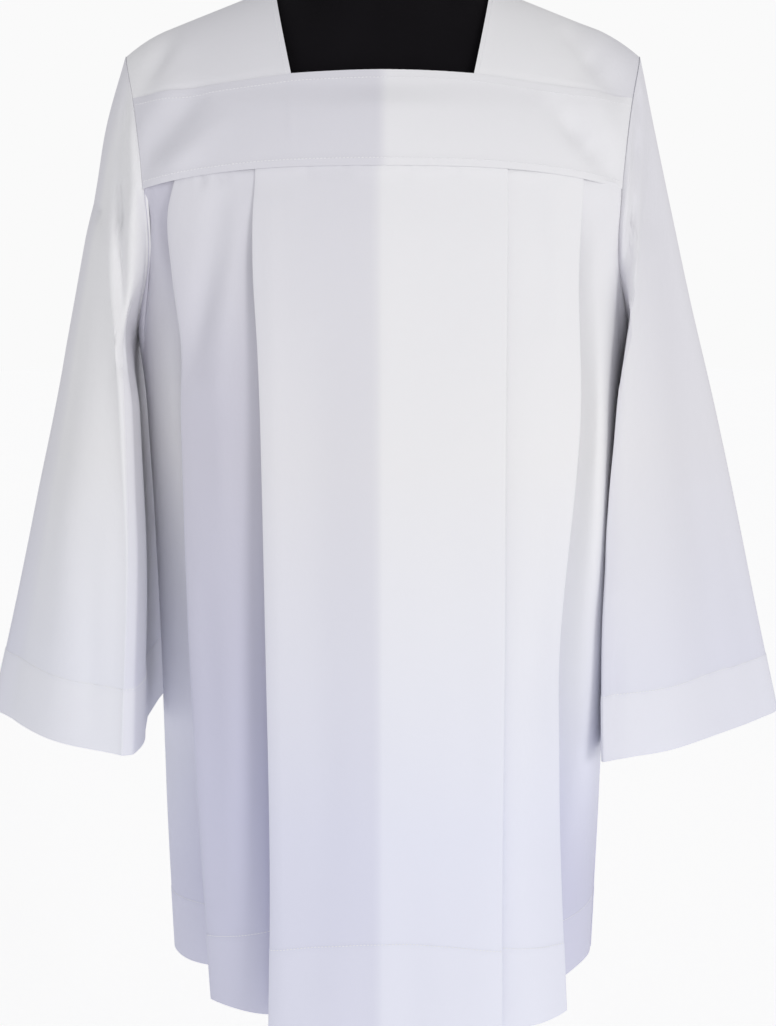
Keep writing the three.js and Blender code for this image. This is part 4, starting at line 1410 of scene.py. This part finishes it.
class ROCHET_OT_stand(Maker, bpy.types.Operator):
    """Build the stand's pole and foot"""

    bl_idname = "rochet.stand"
    bl_label = "Stand"

    def execute(self, context):
        low, high = FOOT_TOP_Z + SEAM, FORM_FOOT_Z - SEAM
        pole = lathe("stand_pole", [(0, low), (15, low), (15, high), (0, high)], 64, 0.6)
        self.finish_piece(pole, "form_pole", "black_steel")
        disc = [(0, 0), (188, 0), (190, 2), (190, 5), (187, 7)]
        collar = [(36, 14), (28, 20), (26, FOOT_TOP_Z), (0, FOOT_TOP_Z)]
        foot = lathe("stand_foot", disc + collar, 128, 1.5)
        self.finish_piece(foot, "form_foot", "black_steel")
        return {"FINISHED"}


class ROCHET_OT_studio(bpy.types.Operator):
    """Set up the floor, the lights and the camera"""

    bl_idname = "rochet.studio"
    bl_label = "Studio"

    def execute(self, context):
        studio = context.scene.rochet_studio
        self.floor()
        self.surround(context, studio)
        self.light("Key", 38, 14, studio.key_strength, (1.0, 0.985, 0.97))
        self.light("Front", 2, 2, studio.front_strength, (0.97, 0.97, 1.0))
        self.light("Fill", -65, 35, studio.fill_strength, (0.8, 0.82, 1.0))
        camera = bpy.data.objects.new("Camera", bpy.data.cameras.new("Camera"))
        context.scene.collection.objects.link(camera)
        camera.location = (studio.camera_aside, -studio.camera_distance, studio.camera_height)
        camera.rotation_euler = (math.pi / 2 - studio.camera_tilt, 0, 0)
        camera.data.lens = studio.lens
        context.scene.camera = camera
        context.scene.view_settings.view_transform = "Standard"
        return {"FINISHED"}

    @staticmethod
    def floor():
        radius, sides = 9000, 96
        faces = [(i, (i + 1) % sides, sides) for i in range(sides)]
        points = np.concatenate([level_circle(radius, 0, sides), [[0, 0, 0]]])
        add_mesh("floor", points, faces, finish_of("Studio floor"))

    @staticmethod
    def surround(context, studio):
        world = bpy.data.worlds.new("Surround")
        context.scene.world = world
        world.use_nodes = True
        tree = world.node_tree
        background = tree.nodes["Background"]
        background.inputs["Color"].default_value = (1.0, 1.0, 1.0, 1.0)
        seen = tree.nodes.new("ShaderNodeLightPath").outputs["Is Camera Ray"]
        strength = tree.nodes.new("ShaderNodeMapRange")
        strength.inputs["To Min"].default_value = studio.surround_light
        strength.inputs["To Max"].default_value = studio.surround
        tree.links.new(seen, strength.inputs["Value"])
        tree.links.new(strength.outputs["Result"], background.inputs["Strength"])

    @staticmethod
    def light(name, around, above, strength, colour):
        """A distant soft light; around is degrees to the wearer's left of the front."""
        light = bpy.data.lights.new(name, "SUN")
        light.energy = strength
        light.angle = math.radians(20)
        light.color = colour
        obj = bpy.data.objects.new(name, light)
        bpy.context.scene.collection.objects.link(obj)
        around, above = math.radians(around), math.radians(above)
        level = math.cos(above)
        way = Vector((math.sin(around) * level, -math.cos(around) * level, math.sin(above)))
        obj.location = way * 4 + Vector((0, 0, 1))
        obj.rotation_euler = way.to_track_quat("Z", "Y").to_euler()


class ROCHET_PT_sidebar(bpy.types.Panel):
    """The rochet's pieces and settings"""

    bl_idname = "ROCHET_PT_sidebar"
    bl_label = "Rochet"
    bl_space_type = "VIEW_3D"
    bl_region_type = "UI"
    bl_category = "Rochet"

    def draw(self, context):
        layout = self.layout
        for operator in OPERATORS:
            layout.operator(operator.bl_idname)
        for setting in SETTINGS:
            group = getattr(context.scene, setting)
            box = layout.box()
            for name in group.bl_rna.properties.keys():
                if name not in {"rna_type", "name"}:
                    box.prop(group, name)


OPERATORS = (
    ROCHET_OT_shoulders,
    ROCHET_OT_yoke,
    ROCHET_OT_panels,
    ROCHET_OT_sleeves,
    ROCHET_OT_form,
    ROCHET_OT_stand,
    ROCHET_OT_studio,
)
SETTINGS = {"rochet_cut": RochetCut, "rochet_finish": RochetFinish, "rochet_studio": RochetStudio}
CLASSES = (*SETTINGS.values(), *OPERATORS, ROCHET_PT_sidebar)


def register():
    for cls in CLASSES:
        bpy.utils.register_class(cls)
    for setting, group in SETTINGS.items():
        setattr(bpy.types.Scene, setting, PointerProperty(type=group))


def unregister():
    for setting in SETTINGS:
        delattr(bpy.types.Scene, setting)
    for cls in reversed(CLASSES):
        bpy.utils.unregister_class(cls)


def main():
    register()
    bpy.ops.rochet.shoulders()
    bpy.ops.rochet.yoke()
    bpy.ops.rochet.panels()
    bpy.ops.rochet.sleeves()
    bpy.ops.rochet.form()
    bpy.ops.rochet.stand()
    bpy.ops.rochet.studio()


if __name__ == "__main__":
    main()
